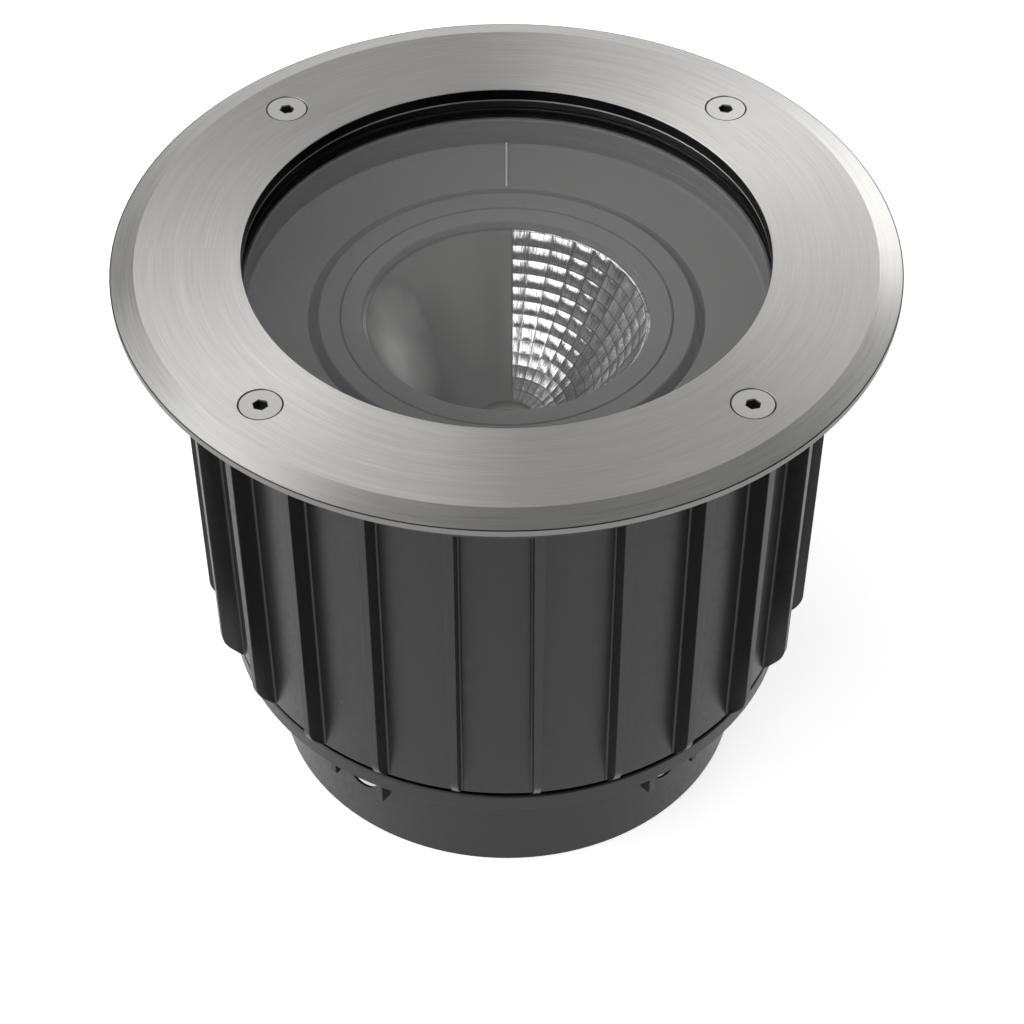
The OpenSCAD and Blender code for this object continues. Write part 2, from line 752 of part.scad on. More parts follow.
// Heat sink
lead_hole_r = lead_y + lead_r + drop_clear;
holder_screw_d = 3;
holder_pocket_r = board_w * sqrt(2) / 2 + 2 * drop_clear;
holder_r = holder_pocket_r + 2 * reflector_t;
holder_lug_place = holder_r + 0.9 * holder_screw_d + drop_clear;
holder_lug_angles = [135, 315];

module heat_sink() {
    color(bare_aluminium)
    difference() {
        union() {
            translate([0, 0, plate_z]) cylinder(r = plate_r, h = plate_t);
            intersection() {
                translate([0, 0, fin_z]) cylinder(r = fin_r, h = fin_h + plate_t / 2);
                for (i = [0 : fin_count - 1])
                    translate([-fin_r, (i - (fin_count - 1) / 2) * fin_pitch - fin_t / 2, fin_z])
                        cube([2 * fin_r, fin_t, fin_h + plate_t / 2]);
            }
        }
        around(post_place, post_angles) translate([0, 0, plate_z - over])
            cylinder(d = post_screw_d + run_clear, h = plate_t + 2 * over);
        around(foot_lug_place, foot_lug_angles) translate([0, 0, plate_top_z - 0.8 * plate_t])
            cylinder(d = carrier_screw_d + run_clear, h = plate_t);
        around(holder_lug_place, holder_lug_angles) translate([0, 0, plate_top_z - 0.8 * plate_t])
            cylinder(d = holder_screw_d + run_clear, h = plate_t);
        translate([lead_x, 0, plate_z - over])
            cylinder(r = lead_hole_r, h = plate_t + 2 * over);
    }
}

module heat_sink_screws() {
    color(stainless)
    around(post_place, post_angles)
        translate([0, 0, plate_top_z]) pan_screw(post_screw_d, plate_t + 2.5 * post_screw_d);
}

// Lamp
board_top_z = plate_top_z + board_t;
holder_roof = holder_h - board_t - lead_d - lead_d / 11;
lamp_open_r = lamp_d / 2 + reflector_t;

module led_board() {
    color("#e9e6dc")
    translate([0, 0, plate_top_z])
        linear_extrude(board_t) rounded_plate(board_w, board_w, board_t);
}

module led_chip() {
    color("#e8c257")
    translate([0, 0, board_top_z]) cylinder(d = lamp_d, h = lamp_t);
}

module led_holder() {
    color("#dcdad4")
    difference() {
        union() {
            rotate_extrude()
                polygon([
                    [holder_pocket_r, plate_top_z], [holder_r, plate_top_z],
                    [holder_r, holder_top_z - holder_roof], [holder_r - holder_roof, holder_top_z],
                    [lamp_open_r, holder_top_z], [lamp_open_r, board_top_z],
                    [lamp_open_r + holder_roof, board_top_z],
                    [lamp_open_r + holder_roof, holder_top_z - holder_roof],
                    [holder_pocket_r, holder_top_z - holder_roof]
                ]);
            difference() {
                around(holder_lug_place, holder_lug_angles) translate([0, 0, plate_top_z])
                    cylinder(d = 2.4 * holder_screw_d, h = holder_h / 2);
                translate([0, 0, plate_top_z - over])
                    cylinder(r = holder_pocket_r, h = holder_h);
            }
        }
        around(holder_lug_place, holder_lug_angles) translate([0, 0, plate_top_z - over])
            cylinder(d = holder_screw_d + run_clear, h = holder_h + 2 * over);
        // way out for the leads
        translate([holder_pocket_r - over, -lead_hole_r, board_top_z])
            cube([holder_r - holder_pocket_r + 2 * over, 2 * lead_hole_r, lead_d + lead_d / 11]);
    }
}

module led_holder_screws() {
    color(stainless)
    around(holder_lug_place, holder_lug_angles)
        translate([0, 0, plate_top_z + holder_h / 2])
            pan_screw(holder_screw_d, holder_h / 2 + 0.7 * plate_t);
}

// A quarter turn of a lead in the plane of X and Z, about the origin, a little
// thicker than the straight runs, which reach into it
module lead_quarter() {
    rotate([90, 0, 0]) rotate_extrude(angle = 90)
        translate([lead_bend, 0]) circle(1.06 * lead_r, $fn = 24);
}

module led_leads() {
    start_x = lamp_open_r + holder_roof + lead_r;
    start_z = board_top_z + lead_r;
    end_z = floor_top_z + gear_h / 2;
    turn_x = lead_x - lead_bend;
    color("#8c2a24")
    for (y = [-1, 1]) translate([0, y * lead_y, 0]) {
        translate([start_x, 0, start_z]) rotate([0, 90, 0])
            cylinder(r = lead_r, h = turn_x - start_x + lead_r / 2, $fn = 24);
        translate([turn_x, 0, start_z - lead_bend]) lead_quarter();
        translate([lead_x, 0, end_z + lead_bend - lead_r / 2])
            cylinder(r = lead_r, h = start_z - end_z - 2 * lead_bend + lead_r, $fn = 24);
        translate([turn_x, 0, end_z + lead_bend]) mirror([0, 0, 1]) lead_quarter();
    }
}

// Control gear
ear_t = 1.5;
ear_screw_d = 3;
ear_places = [
    [gear_x0 + gear_l * 0.13, gear_w / 2 + 1.4 * ear_screw_d],
    [gear_x1 - gear_l * 0.13, -gear_w / 2 - 1.4 * ear_screw_d]
];
earth_place = [-gear_l * 0.27, gear_w];
earth_screw_d = 4;
earth_boss_h = 3;

module control_gear() {
    color("#e4e2dc")
    difference() {
        union() {
            translate([(gear_x0 + gear_x1) / 2, 0, floor_top_z])
                linear_extrude(gear_h - ear_t) rounded_plate(gear_l, gear_w, 2 * ear_t);
            translate([(gear_x0 + gear_x1) / 2, 0, floor_top_z])
                linear_extrude(gear_h) rounded_plate(gear_l - 2 * ear_t, gear_w - 2 * ear_t, ear_t);
            for (p = ear_places) translate([p[0], p[1], floor_top_z]) {
                cylinder(d = 2.4 * ear_screw_d, h = ear_t);
                translate([-1.2 * ear_screw_d, -sign(p[1]) * 2 * ear_screw_d / 2 - ear_screw_d, 0])
                    cube([2.4 * ear_screw_d, 2 * ear_screw_d, ear_t]);
            }
        }
        for (p = ear_places) translate([p[0], p[1], floor_top_z - over])
            cylinder(d = ear_screw_d + run_clear, h = ear_t + 2 * over);
    }
}

module control_gear_screws() {
    color(stainless)
    for (p = ear_places) translate([p[0], p[1], floor_top_z + ear_t])
        pan_screw(ear_screw_d, ear_t + 0.7 * floor_t);
}

module earth_screw() {
    color(brass)
    translate([earth_place[0], earth_place[1], floor_top_z + earth_boss_h])
        pan_screw(earth_screw_d, earth_boss_h + 0.6 * floor_t);
}

module terminal_block() {
    foot_h = terminal_h * 0.25;
    color("#e9e7e0")
    difference() {
        union() {
            translate([terminal_x, -terminal_w / 2, floor_top_z])
                cube([terminal_l, terminal_w, terminal_h * 0.7]);
            for (i = [0 : pole_count - 1])
                translate([
                    terminal_x + terminal_l * 0.2,
                    (i - (pole_count - 1) / 2) * pole_pitch - pole_pitch * 0.4, floor_top_z
                ]) cube([terminal_l * 0.6, pole_pitch * 0.8, terminal_h]);
        }
        for (i = [0 : pole_count - 1])
            translate([0, (i - (pole_count - 1) / 2) * pole_pitch, floor_top_z]) {
                // screw wells over the two clamps of a pole
                for (s = [0.33, 0.67]) translate([terminal_x + terminal_l * s, 0, foot_h * 2])
                    cylinder(d = pole_pitch * 0.42, h = terminal_h);
                // mouth for the cable's core
                translate([terminal_x + terminal_l * 0.75, 0, foot_h * 1.4]) rotate([0, 90, 0])
                    cylinder(d = pole_pitch * 0.45, h = terminal_l);
            }
    }
}

module mains_leads() {
    color("#3f6f9c")
    for (i = [0 : pole_count - 1])
        translate([gear_x1, (i - (pole_count - 1) / 2) * pole_pitch, floor_top_z + terminal_h * 0.35])
            rotate([0, 90, 0]) cylinder(r = lead_r, h = gear_gap, $fn = 24);
}

// Cable entry
gland_face_z = floor_z - pad_h;
washer_t = 1.5;
cable_clear = 1;
gland_hex = 1.2 * gland_d;
gland_hex_h = 5;
gland_bore_r = cable_d / 2 + cable_clear;
nut_z = gland_face_z - gland_drop;
nut_wall = 2.5;
gland_body_z = nut_z + 2 * nut_wall;
spigot_low_r = 0.475 * gland_d;
seal_out_r = 0.42 * cable_d / 2 + 0.63 * spigot_low_r;

// A hexagonal prism by its width across the flats
module hexagon(across, h) {
    cylinder(d = across / cos(30), h = h, $fn = 6);
}

module gland_body() {
    hex_z = gland_face_z - washer_t - gland_hex_h;
    color("#3a3c3f")
    translate([0, gland_place, 0]) difference() {
        union() {
            translate([0, 0, hex_z]) hexagon(gland_hex, gland_hex_h);
            translate([0, 0, hex_z + gland_hex_h - over])
                cylinder(d = gland_d, h = floor_top_z + pad_h - hex_z - gland_hex_h + over);
            translate([0, 0, gland_body_z])
                cylinder(r = spigot_low_r, h = hex_z - gland_body_z + over);
        }
        translate([0, 0, gland_body_z - over])
            cylinder(r = gland_bore_r, h = floor_top_z + pad_h - gland_body_z + 2 * over);
        translate([0, 0, gland_body_z - over])
            cylinder(r = seal_out_r + run_clear, h = hex_z - gland_body_z + over);
    }
}

module gland_seal() {
    color(rubber)
    translate([0, gland_place, 0])
        ring(cable_d / 2, seal_out_r, gland_body_z - nut_wall,
            gland_face_z - washer_t - gland_hex_h);
}

module gland_nut() {
    top = gland_face_z - washer_t - gland_hex_h - 0.2 * nut_wall;
    color("#3a3c3f")
    translate([0, gland_place, 0]) difference() {
        intersection() {
            translate([0, 0, nut_z]) hexagon(gland_hex, top - nut_z);
            rotate_extrude()
                polygon([
                    [0, nut_z], [gland_hex * 0.36, nut_z], [gland_hex * 0.48, nut_z + nut_wall],
                    [gland_hex * 0.56, nut_z + 3 * nut_wall], [gland_hex * 0.56, top], [0, top]
                ]);
        }
        translate([0, 0, nut_z + nut_wall])
            cylinder(r = spigot_low_r + run_clear, h = top - nut_z);
        translate([0, 0, nut_z - over])
            cylinder(r = cable_d / 2 + drop_clear, h = nut_wall + 2 * over);
    }
}

module sealing_washers() {
    color(rubber)
    for (y = [-1, 1]) translate([0, y * gland_place, 0])
        ring(gland_d / 2 + run_clear, gland_hex / 2, gland_face_z - washer_t, gland_face_z);
}

module blanking_plug() {
    head_z = gland_face_z - washer_t - gland_hex_h;
    color("#3a3c3f")
    translate([0, -gland_place, 0]) difference() {
        union() {
            translate([0, 0, head_z]) hexagon(gland_hex, gland_hex_h);
            translate([0, 0, head_z + over])
                cylinder(d = gland_d, h = floor_top_z - head_z - over);
        }
        translate([0, 0, head_z + gland_hex_h / 2])
            cylinder(r = gland_bore_r, h = floor_top_z - head_z);
        translate([-gland_d / 2, -washer_t / 2, head_z - over])
            cube([gland_d, washer_t, gland_hex_h * 0.3 + over]);
    }
}

module vent_plug() {
    color("#3a3c3f")
    translate([vent_place[0], vent_place[1], 0]) difference() {
        union() {
            translate([0, 0, floor_z - 0.5 * vent_d]) hexagon(1.25 * vent_d, 0.5 * vent_d);
            translate([0, 0, floor_z - over])
                cylinder(d = vent_d, h = floor_t + over);
        }
        translate([0, 0, floor_z - 0.25 * vent_d])
            cylinder(d = 0.5 * vent_d, h = floor_t + vent_d);
        // breathing holes through the flats
        for (a = steps(6, 30)) rotate(a)
            translate([0.2 * vent_d, 0, floor_z - 0.15 * vent_d]) rotate([0, 90, 0])
                cylinder(d = 0.1 * vent_d, h = vent_d, $fn = 16);
    }
}

// Cover
trim_edge = trim_t / 16;

module trim_ring() {
    color(stainless)
    difference() {
        rotate_extrude()
            polygon([
                [opening_r, trim_z], [trim_r - trim_edge, trim_z], [trim_r, trim_z + trim_edge],
                [trim_r, top_z - bevel_h], [trim_r - bevel_w, top_z],
                [opening_r + trim_edge, top_z], [opening_r, top_z - trim_edge]
            ]);
        around(screw_r, steps(trim_screw_count, trim_screw_angle)) {
            translate([0, 0, trim_z - over])
                cylinder(d = trim_screw_d + 2 * head_clear, h = trim_t + 2 * over);
            translate([0, 0, top_z]) rotate_extrude()
                polygon([
                    [0, over], [trim_head_d / 2 + head_clear, over],
                    [trim_head_d / 2 + head_clear, -head_clear / 2 - trim_head_d / 30],
                    [trim_screw_d / 2 + head_clear,
                        -head_clear / 2 - trim_head_d / 30 - (trim_head_d - trim_screw_d) / 2],
                    [0, -head_clear / 2 - trim_head_d / 30 - (trim_head_d - trim_screw_d) / 2]
                ]);
        }
    }
}

module trim_screws() {
    color("#c2c3c5")
    around(screw_r, steps(trim_screw_count, trim_screw_angle))
        translate([0, 0, top_z - head_clear / 2])
            countersunk_screw(trim_screw_d - run_clear, trim_head_d,
                trim_t + flange_t - head_clear - over, socket_af);
}

module top_gasket() {
    color(rubber) ring(glass_r - seal_w, glass_r, glass_top_z, trim_z);
}

module glass() {
    color([0.8, 0.87, 0.84, 0.35])
    rotate_extrude()
        polygon([
            [0, glass_z], [glass_r - glass_bevel, glass_z], [glass_r, glass_z + glass_bevel],
            [glass_r, glass_top_z - glass_bevel], [glass_r - glass_bevel, glass_top_z],
            [0, glass_top_z]
        ]);
}

module glass_seal() {
    color(rubber) ring(glass_r - seal_w, glass_r, seat_z, glass_z);
}

// Optic
module turntable() {
    bore_r = bezel_in_r + rim_ledge;
    lip = turntable_w / 16;
    color(baffle_grey)
    rotate_extrude()
        polygon([
            [bore_r, spigot_z], [spigot_r, spigot_z], [spigot_r, track_z],
            [track_r, track_z], [track_r, track_top_z], [turntable_r, track_top_z],
            [turntable_r, bezel_top_z + turntable_rise - lip],
            [turntable_r - lip, bezel_top_z + turntable_rise],
            [turntable_in_r, bezel_top_z], [turntable_in_r, shelf_z], [bore_r, shelf_z]
        ]);
}

module bezel() {
    edge = bezel_h / 8;
    color(baffle_grey)
    rotate_extrude()
        polygon([
            [bezel_in_r, bezel_z], [bezel_out_r, bezel_z], [bezel_out_r, bezel_top_z - edge],
            [bezel_out_r - edge, bezel_top_z], [bezel_in_r + edge, bezel_top_z],
            [bezel_in_r, bezel_top_z - edge]
        ]);
}

// The reflector's curve is a parabola. The rows of facets are steps of nearly
// equal length along it, a little longer towards the rim.
function curve_z(r) = vertex_z + r * r / (2 * curve_length);
function arc_to(r) = let (s = r / curve_length)
    curve_length * (s * sqrt(1 + s * s) + ln(s + sqrt(1 + s * s))) / 2;
function row_length(k) =
    (arc_to(rim_r) - arc_to(lamp_hole_r)) / facet_rows
    * (1 + facet_skew * (1 - 2 * (k - 0.5) / facet_rows));
function step_in(r, l) = let (mid = r - l / 2 / sqrt(1 + pow(r / curve_length, 2)))
    r - l / sqrt(1 + pow(mid / curve_length, 2));
function row_r(k) = k == 0 ? rim_r
    : k == facet_rows ? lamp_hole_r
    : let (above = row_r(k - 1)) step_in(above, row_length(k));

row_radii = [for (k = [0 : facet_rows]) row_r(k)];

// A point on the back of the reflector, behind a radius of its face
function back_point(r) = let (slope = atan(r / curve_length))
    [r + reflector_t * sin(slope), curve_z(r) - reflector_t * cos(slope)];

// A bowl of flat facets with a round stepped back
module facet_bowl() {
    m = facet_columns;
    n = facet_rows;
    front = [for (r = row_radii) for (j = [0 : m - 1]) let (a = j * 360 / m)
        [r * cos(a), r * sin(a), curve_z(r)]];
    back = [for (r = row_radii) for (j = [0 : m - 1]) let (a = j * 360 / m, p = back_point(r))
        [p[0] * cos(a), p[0] * sin(a), p[1]]];
    b = (n + 1) * m;
    faces = concat(
        [for (k = [0 : n - 1]) for (j = [0 : m - 1]) let (i = (j + 1) % m)
            [k * m + i, k * m + j, (k + 1) * m + j, (k + 1) * m + i]],
        [for (k = [0 : n - 1]) for (j = [0 : m - 1]) let (i = (j + 1) % m)
            [b + k * m + j, b + k * m + i, b + (k + 1) * m + i, b + (k + 1) * m + j]],
        [for (j = [0 : m - 1]) let (i = (j + 1) % m) [j, i, b + i, b + j]],
        [for (j = [0 : m - 1]) let (i = (j + 1) % m)
            [b + n * m + j, b + n * m + i, n * m + i, n * m + j]]
    );
    polyhedron(concat(front, back), faces, convexity = 6);
}

// The flat flange that is clamped under the bezel
module reflector_flange() {
    ring(rim_r + reflector_t / 3, bezel_out_r - drop_clear, shelf_z, bezel_z);
}

// Keeps what lies on one side of the split
module one_side(side) {
    gap = reflector_t / 4;
    intersection() {
        children();
        translate([
            side > 0 ? split_x + gap / 2 : split_x - gap / 2 - 2 * rim_r,
            -2 * rim_r, vertex_z - reflector_depth
        ]) cube([2 * rim_r, 4 * rim_r, 2 * reflector_depth]);
    }
}

module faceted_reflector() {
    color("#d3d6d8")
    one_side(1) {
        facet_bowl();
        reflector_flange();
    }
}

module smooth_reflector() {
    color("#a7a7a5")
    one_side(-1) {
        rotate_extrude()
            polygon(concat(
                [for (r = row_radii) [r, curve_z(r)]],
                [for (k = [0 : facet_rows]) back_point(row_radii[facet_rows - k])]
            ));
        reflector_flange();
    }
}

sleeve_body();
base_ring();
sleeve_inserts();
housing_rim();
housing_wall();
housing_floor();
trim_inserts();
housing_screws();
baffle();
optic_carrier();
carrier_screws();
retaining_ring();
heat_sink();
heat_sink_screws();
led_board();
led_chip();
led_holder();
led_holder_screws();
led_leads();
control_gear();
control_gear_screws();
terminal_block();
mains_leads();
earth_screw();
gland_body();
gland_seal();
gland_nut();
sealing_washers();
blanking_plug();
vent_plug();
trim_ring();
trim_screws();
top_gasket();
glass();
glass_seal();
turntable();
bezel();
faceted_reflector();
smooth_reflector();
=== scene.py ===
"""The looks of a round in-ground light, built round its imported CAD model.

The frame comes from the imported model. Each sub-assembly below is a class that
holds its sizes, dresses its CAD pieces in a finish and adds what the solids
leave out. Lengths are in millimetres unless a name says otherwise.
"""

import json
import logging
import math
from dataclasses import dataclass, replace
from enum import Enum
from typing import Any

import bmesh
import bpy
from mathutils import Matrix, Vector

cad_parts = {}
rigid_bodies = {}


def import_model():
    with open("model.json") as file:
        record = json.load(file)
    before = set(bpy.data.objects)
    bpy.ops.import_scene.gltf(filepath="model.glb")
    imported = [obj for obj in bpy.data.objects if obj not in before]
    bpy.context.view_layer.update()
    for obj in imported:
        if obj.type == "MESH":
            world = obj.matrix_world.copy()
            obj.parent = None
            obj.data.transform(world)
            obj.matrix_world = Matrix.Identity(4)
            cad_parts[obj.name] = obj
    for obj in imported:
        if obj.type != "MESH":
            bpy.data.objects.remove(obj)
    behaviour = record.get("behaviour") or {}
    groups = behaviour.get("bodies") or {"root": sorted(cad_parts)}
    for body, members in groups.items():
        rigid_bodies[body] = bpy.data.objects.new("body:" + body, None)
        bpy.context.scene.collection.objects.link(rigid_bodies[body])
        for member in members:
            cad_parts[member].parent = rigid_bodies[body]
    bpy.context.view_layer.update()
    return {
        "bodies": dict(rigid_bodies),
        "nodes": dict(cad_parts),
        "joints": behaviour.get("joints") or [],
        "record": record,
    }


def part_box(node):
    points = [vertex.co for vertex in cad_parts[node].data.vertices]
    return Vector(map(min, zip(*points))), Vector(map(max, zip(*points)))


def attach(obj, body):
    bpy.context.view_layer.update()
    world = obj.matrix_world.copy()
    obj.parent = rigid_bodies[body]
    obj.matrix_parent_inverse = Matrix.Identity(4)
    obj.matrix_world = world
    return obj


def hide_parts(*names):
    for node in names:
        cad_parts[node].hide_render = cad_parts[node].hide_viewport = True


Node = bpy.types.Node
Socket = bpy.types.NodeSocket
Source = Node | Socket
Tree = bpy.types.NodeTree
Material = bpy.types.Material
Pair = tuple[float, float]
Triple = tuple[float, float, float]

LOG = logging.getLogger("light")
MM = 0.001
# faces that meet at a greater angle than this keep a sharp edge
SHARP = math.radians(40)
# a noise lies mostly between these two values
NOISE_LOW, NOISE_HIGH = 0.3, 0.7
# the width over which one tone goes over into the next
BLEND = 0.1
# places of a colour Mix node's sockets, whose names its number sockets share
MIX_FACTOR, MIX_FIRST, MIX_SECOND, MIX_RESULT = 0, 6, 7, 2
WHITE = (1.0, 1.0, 1.0, 1.0)
# how much the finer octaves of a noise in streaks count
STREAKY = 0.6
BEVEL_SAMPLES = 4
QUARTER_TURN = 0.25


class Body(Enum):
    """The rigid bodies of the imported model."""

    SLEEVE = "sleeve"
    LUMINAIRE = "luminaire"
    COVER = "cover"
    OPTIC = "optic"


class Stain(Enum):
    """Colours that lie over a finish in some places: dust, painted shade, painted highlights and a
    darker outer wall.
    """

    DUST = "#8d8b88"
    GAP_SHADE = "#060606"
    BORE_SHADE = "#161616"
    BORE_HIGHLIGHT = "#b9b8b6"
    DARKER_RIM_WALL = "#7d7c7a"
    CORNER_SHADE = "#4c4b4a"
    SEAT_SHADE = "#3a3937"
    SOCKET_SHADE = "#5f5e5c"
    SATIN_HIGHLIGHT = "#ffffff"
    GROOVE_SHADE = "#2c2c2c"


def linear(code: str) -> tuple[float, float, float, float]:
    """Turn an sRGB hex colour to linear values.

    Args:
        code: six hex digits after a hash sign.

    Returns:
        Red, green, blue and an alpha of 1, as Blender's sockets take them.
    """
    parts = [int(code[i : i + 2], 16) / 255 for i in (1, 3, 5)]
    bent = [c / 12.92 if c <= 0.04045 else ((c + 0.055) / 1.055) ** 2.4 for c in parts]
    return bent[0], bent[1], bent[2], 1.0


def add(
    tree: Tree, kind: str, inputs: list[Any] | dict[Any, Any] | None = None, **settings: Any
) -> Node:
    """Add a shader node with its settings and links.

    Args:
        tree: the node tree that takes the node.
        kind: the node's type name without its ShaderNode beginning.
        inputs: what its inputs take, in their order or by name or number: plain
            values, sockets, or nodes that give their first output.
        **settings: properties of the node itself, set before its inputs.

    Returns:
        The new node.
    """
    made = tree.nodes.new("ShaderNode" + kind)
    for name, value in settings.items():
        setattr(made, name, value)
    pairs = inputs.items() if isinstance(inputs, dict) else enumerate(inputs or [])
    for place, value in pairs:
        source = value.outputs[0] if isinstance(value, Node) else value
        if isinstance(source, Socket):
            tree.links.new(source, made.inputs[place])
        else:
            made.inputs[place].default_value = source
    return made


def maths(operation: str, first: Source, *others: Source | float) -> Node:
    """Work out one number from others."""
    return add(first.id_data, "Math", [first, *others], operation=operation)


def ramp(source: Source, *ends: float) -> Node:
    """Map a number from one range to another, or to 0 and 1, and hold it at the ends."""
    return add(source.id_data, "MapRange", [source, *ends])


@dataclass(frozen=True)
class Place:
    """Where a pattern lies: a point, and its polar form round an upright axis.

    A folded place is the same in all four quarters round the part's axis.
    """

    tree: Tree
    centre: Pair = (0.0, 0.0)
    folded: bool = False

    def point(self) -> Node:
        """Give the point.

        Returns:
            The point in millimetres, measured from the centre.
        """
        coords = add(self.tree, "TexCoord").outputs["Object"]
        scaled = add(self.tree, "VectorMath", [coords, (1 / MM,) * 3], operation="MULTIPLY")
        if self.folded:
            scaled = add(self.tree, "VectorMath", [scaled], operation="ABSOLUTE")
        return add(self.tree, "VectorMath", [scaled, (*self.centre, 0.0)], operation="SUBTRACT")

    def polar(self) -> tuple[Source, Source, Source]:
        """Give the point in polar form.

        Returns:
            Its radius in millimetres, its angle in radians and its height.
        """
        x, y, z = add(self.tree, "SeparateXYZ", [self.point()]).outputs
        flat = add(self.tree, "CombineXYZ", [x, y])
        radius = add(self.tree, "VectorMath", [flat], operation="LENGTH").outputs["Value"]
        return radius, maths("ARCTAN2", y, x), z

    def round_lines(self, spacing: float, turns: float, detail: float) -> Node:
        """Give noise drawn out along circles, as a brush or a lathe tool leaves it.

        Args:
            spacing: distance between lines.
            turns: how often a line changes in one radian.
            detail: octaves of the noise.

        Returns:
            The noise, from 0 to 1.
        """
        radius, angle, height = self.polar()
        across = maths("DIVIDE", radius, spacing)
        along = maths("MULTIPLY", angle, turns)
        up = maths("DIVIDE", height, spacing)
        return self.noise_at(add(self.tree, "CombineXYZ", [across, along, up]), detail, STREAKY)

    def noise(self, size: float, detail: float = 2.0, stretch: Triple = (1, 1, 1)) -> Node:
        """Give plain noise of a size in millimetres.

        Args:
            size: width of one blot of the noise.
            detail: octaves of the noise.
            stretch: how far it is drawn out along X, Y and Z.

        Returns:
            The noise, from 0 to 1.
        """
        shares = tuple(1 / (size * s) for s in stretch)
        where = add(self.tree, "VectorMath", [self.point(), shares], operation="MULTIPLY")
        return self.noise_at(where, detail)

    def noise_at(self, where: Source, detail: float, rough: float = 0.5) -> Node:
        """Give noise over coordinates that are already worked out.

        Args:
            where: the coordinates, in blots of the noise.
            detail: octaves of the noise.
            rough: how much its finer octaves count.

        Returns:
            The noise, from 0 to 1.
        """
        values = {"Vector": where, "Scale": 1.0, "Detail": detail, "Roughness": rough}
        return add(self.tree, "TexNoise", values)

    def specks(self, cell: float, radius: float, share: float) -> Node:
        """Give small round specks scattered in cells.

        Args:
            cell: width of a cell, which holds one speck at most.
            radius: radius of the largest speck.
            share: share of the cells that hold one.

        Returns:
            A mask that is 1 on a speck.
        """
        where = add(self.tree, "VectorMath", [self.point(), (1 / cell,) * 3], operation="MULTIPLY")
        cells = add(self.tree, "TexVoronoi", {"Vector": where, "Scale": 1.0}, feature="F1")
        chance, size, _ = add(self.tree, "SeparateColor", [cells.outputs["Color"]]).outputs
        held = maths("LESS_THAN", chance, share)
        reach = maths("MULTIPLY", size, radius / cell)
        near = maths("LESS_THAN", cells.outputs["Distance"], reach)
        return maths("MULTIPLY", held, near)


@dataclass(frozen=True)
class Finish:
    """A finish: what a surface is made of and how it was made.

    Shades are the factors of the colour where it is darkest and lightest, and a
    blot is the width of one change of it. Sheens are how far the roughness goes
    below and above its middle. The relief has a depth, and strength is how much
    of it shows. Edges are rounded by a radius, or left as they are at 0.
    """

    name: str
    colour: str
    roughness: float
    metallic: float = 0.0
    shades: Pair = (0.9, 1.1)
    blot: float = 18.0
    sheens: Pair = (-0.05, 0.05)
    depth: float = 0.02
    strength: float = 0.4
    edge: float = 0.0

    def start(self) -> tuple[Tree, Node]:
        """Make the material with its main shader.

        Returns:
            Its tree and the shader that the finish goes on to set.
        """
        material = bpy.data.materials.new(self.name)
        material.use_nodes = True
        colour = linear(self.colour)
        material.diffuse_color = colour
        tree = material.node_tree
        tree.nodes.clear()
        values = {"Base Color": colour, "Roughness": self.roughness, "Metallic": self.metallic}
        shader = add(tree, "BsdfPrincipled", values)
        add(tree, "OutputMaterial", {"Surface": shader})
        return tree, shader

    def tint(self, shader: Node, mask: Source) -> None:
        """Let a mask take the colour from its darkest shade to its lightest.

        Args:
            shader: the material's main shader.
            mask: a number from 0 to 1.
        """
        tree = shader.id_data
        red, green, blue, _ = linear(self.colour)
        dark, light = (
            (min(red * s, 1.0), min(green * s, 1.0), min(blue * s, 1.0), 1.0) for s in self.shades
        )
        values = {MIX_FACTOR: mask, MIX_FIRST: dark, MIX_SECOND: light}
        mix = add(tree, "Mix", values, data_type="RGBA")
        tree.links.new(mix.outputs[MIX_RESULT], shader.inputs["Base Color"])

    def stain(self, shader: Node, mask: Source, stain: Stain) -> None:
        """Lay another colour over the base colour where a mask is 1.

        Args:
            shader: the material's main shader, whose base colour is linked.
            mask: a number from 0 to 1.
            stain: the colour that is laid over.
        """
        tree = shader.id_data
        base = shader.inputs["Base Color"].links[0].from_socket
        values = {MIX_FACTOR: mask, MIX_FIRST: base, MIX_SECOND: linear(stain.value)}
        mix = add(tree, "Mix", values, data_type="RGBA")
        tree.links.new(mix.outputs[MIX_RESULT], shader.inputs["Base Color"])

    def sheen(self, shader: Node, noise: Source) -> Node:
        """Let a noise vary the roughness.

        Args:
            shader: the material's main shader.
            noise: the noise, from 0 to 1.

        Returns:
            The roughness.
        """
        tree = shader.id_data
        low, high = (self.roughness + change for change in self.sheens)
        rough = ramp(noise, NOISE_LOW, NOISE_HIGH, low, high)
        tree.links.new(rough.outputs[0], shader.inputs["Roughness"])
        return rough

    def relief(self, shader: Node, height: Source) -> None:
        """Give the surface a pattern's relief over its rounded edges.

        Args:
            shader: the material's main shader.
            height: the pattern, from 0 to 1.
        """
        tree = shader.id_data
        values = {"Height": height, "Strength": self.strength, "Distance": self.depth * MM}
        if self.edge:
            values["Normal"] = add(tree, "Bevel", {"Radius": self.edge * MM}, samples=BEVEL_SAMPLES)
        bump = add(tree, "Bump", values)
        tree.links.new(bump.outputs[0], shader.inputs["Normal"])

    def build(self) -> None:
        """Make the material."""
        self.start()

    def material(self) -> Material:
        """Give the material, which is made once.

        Returns:
            The material.
        """
        if self.name not in bpy.data.materials:
            self.build()
        return bpy.data.materials[self.name]


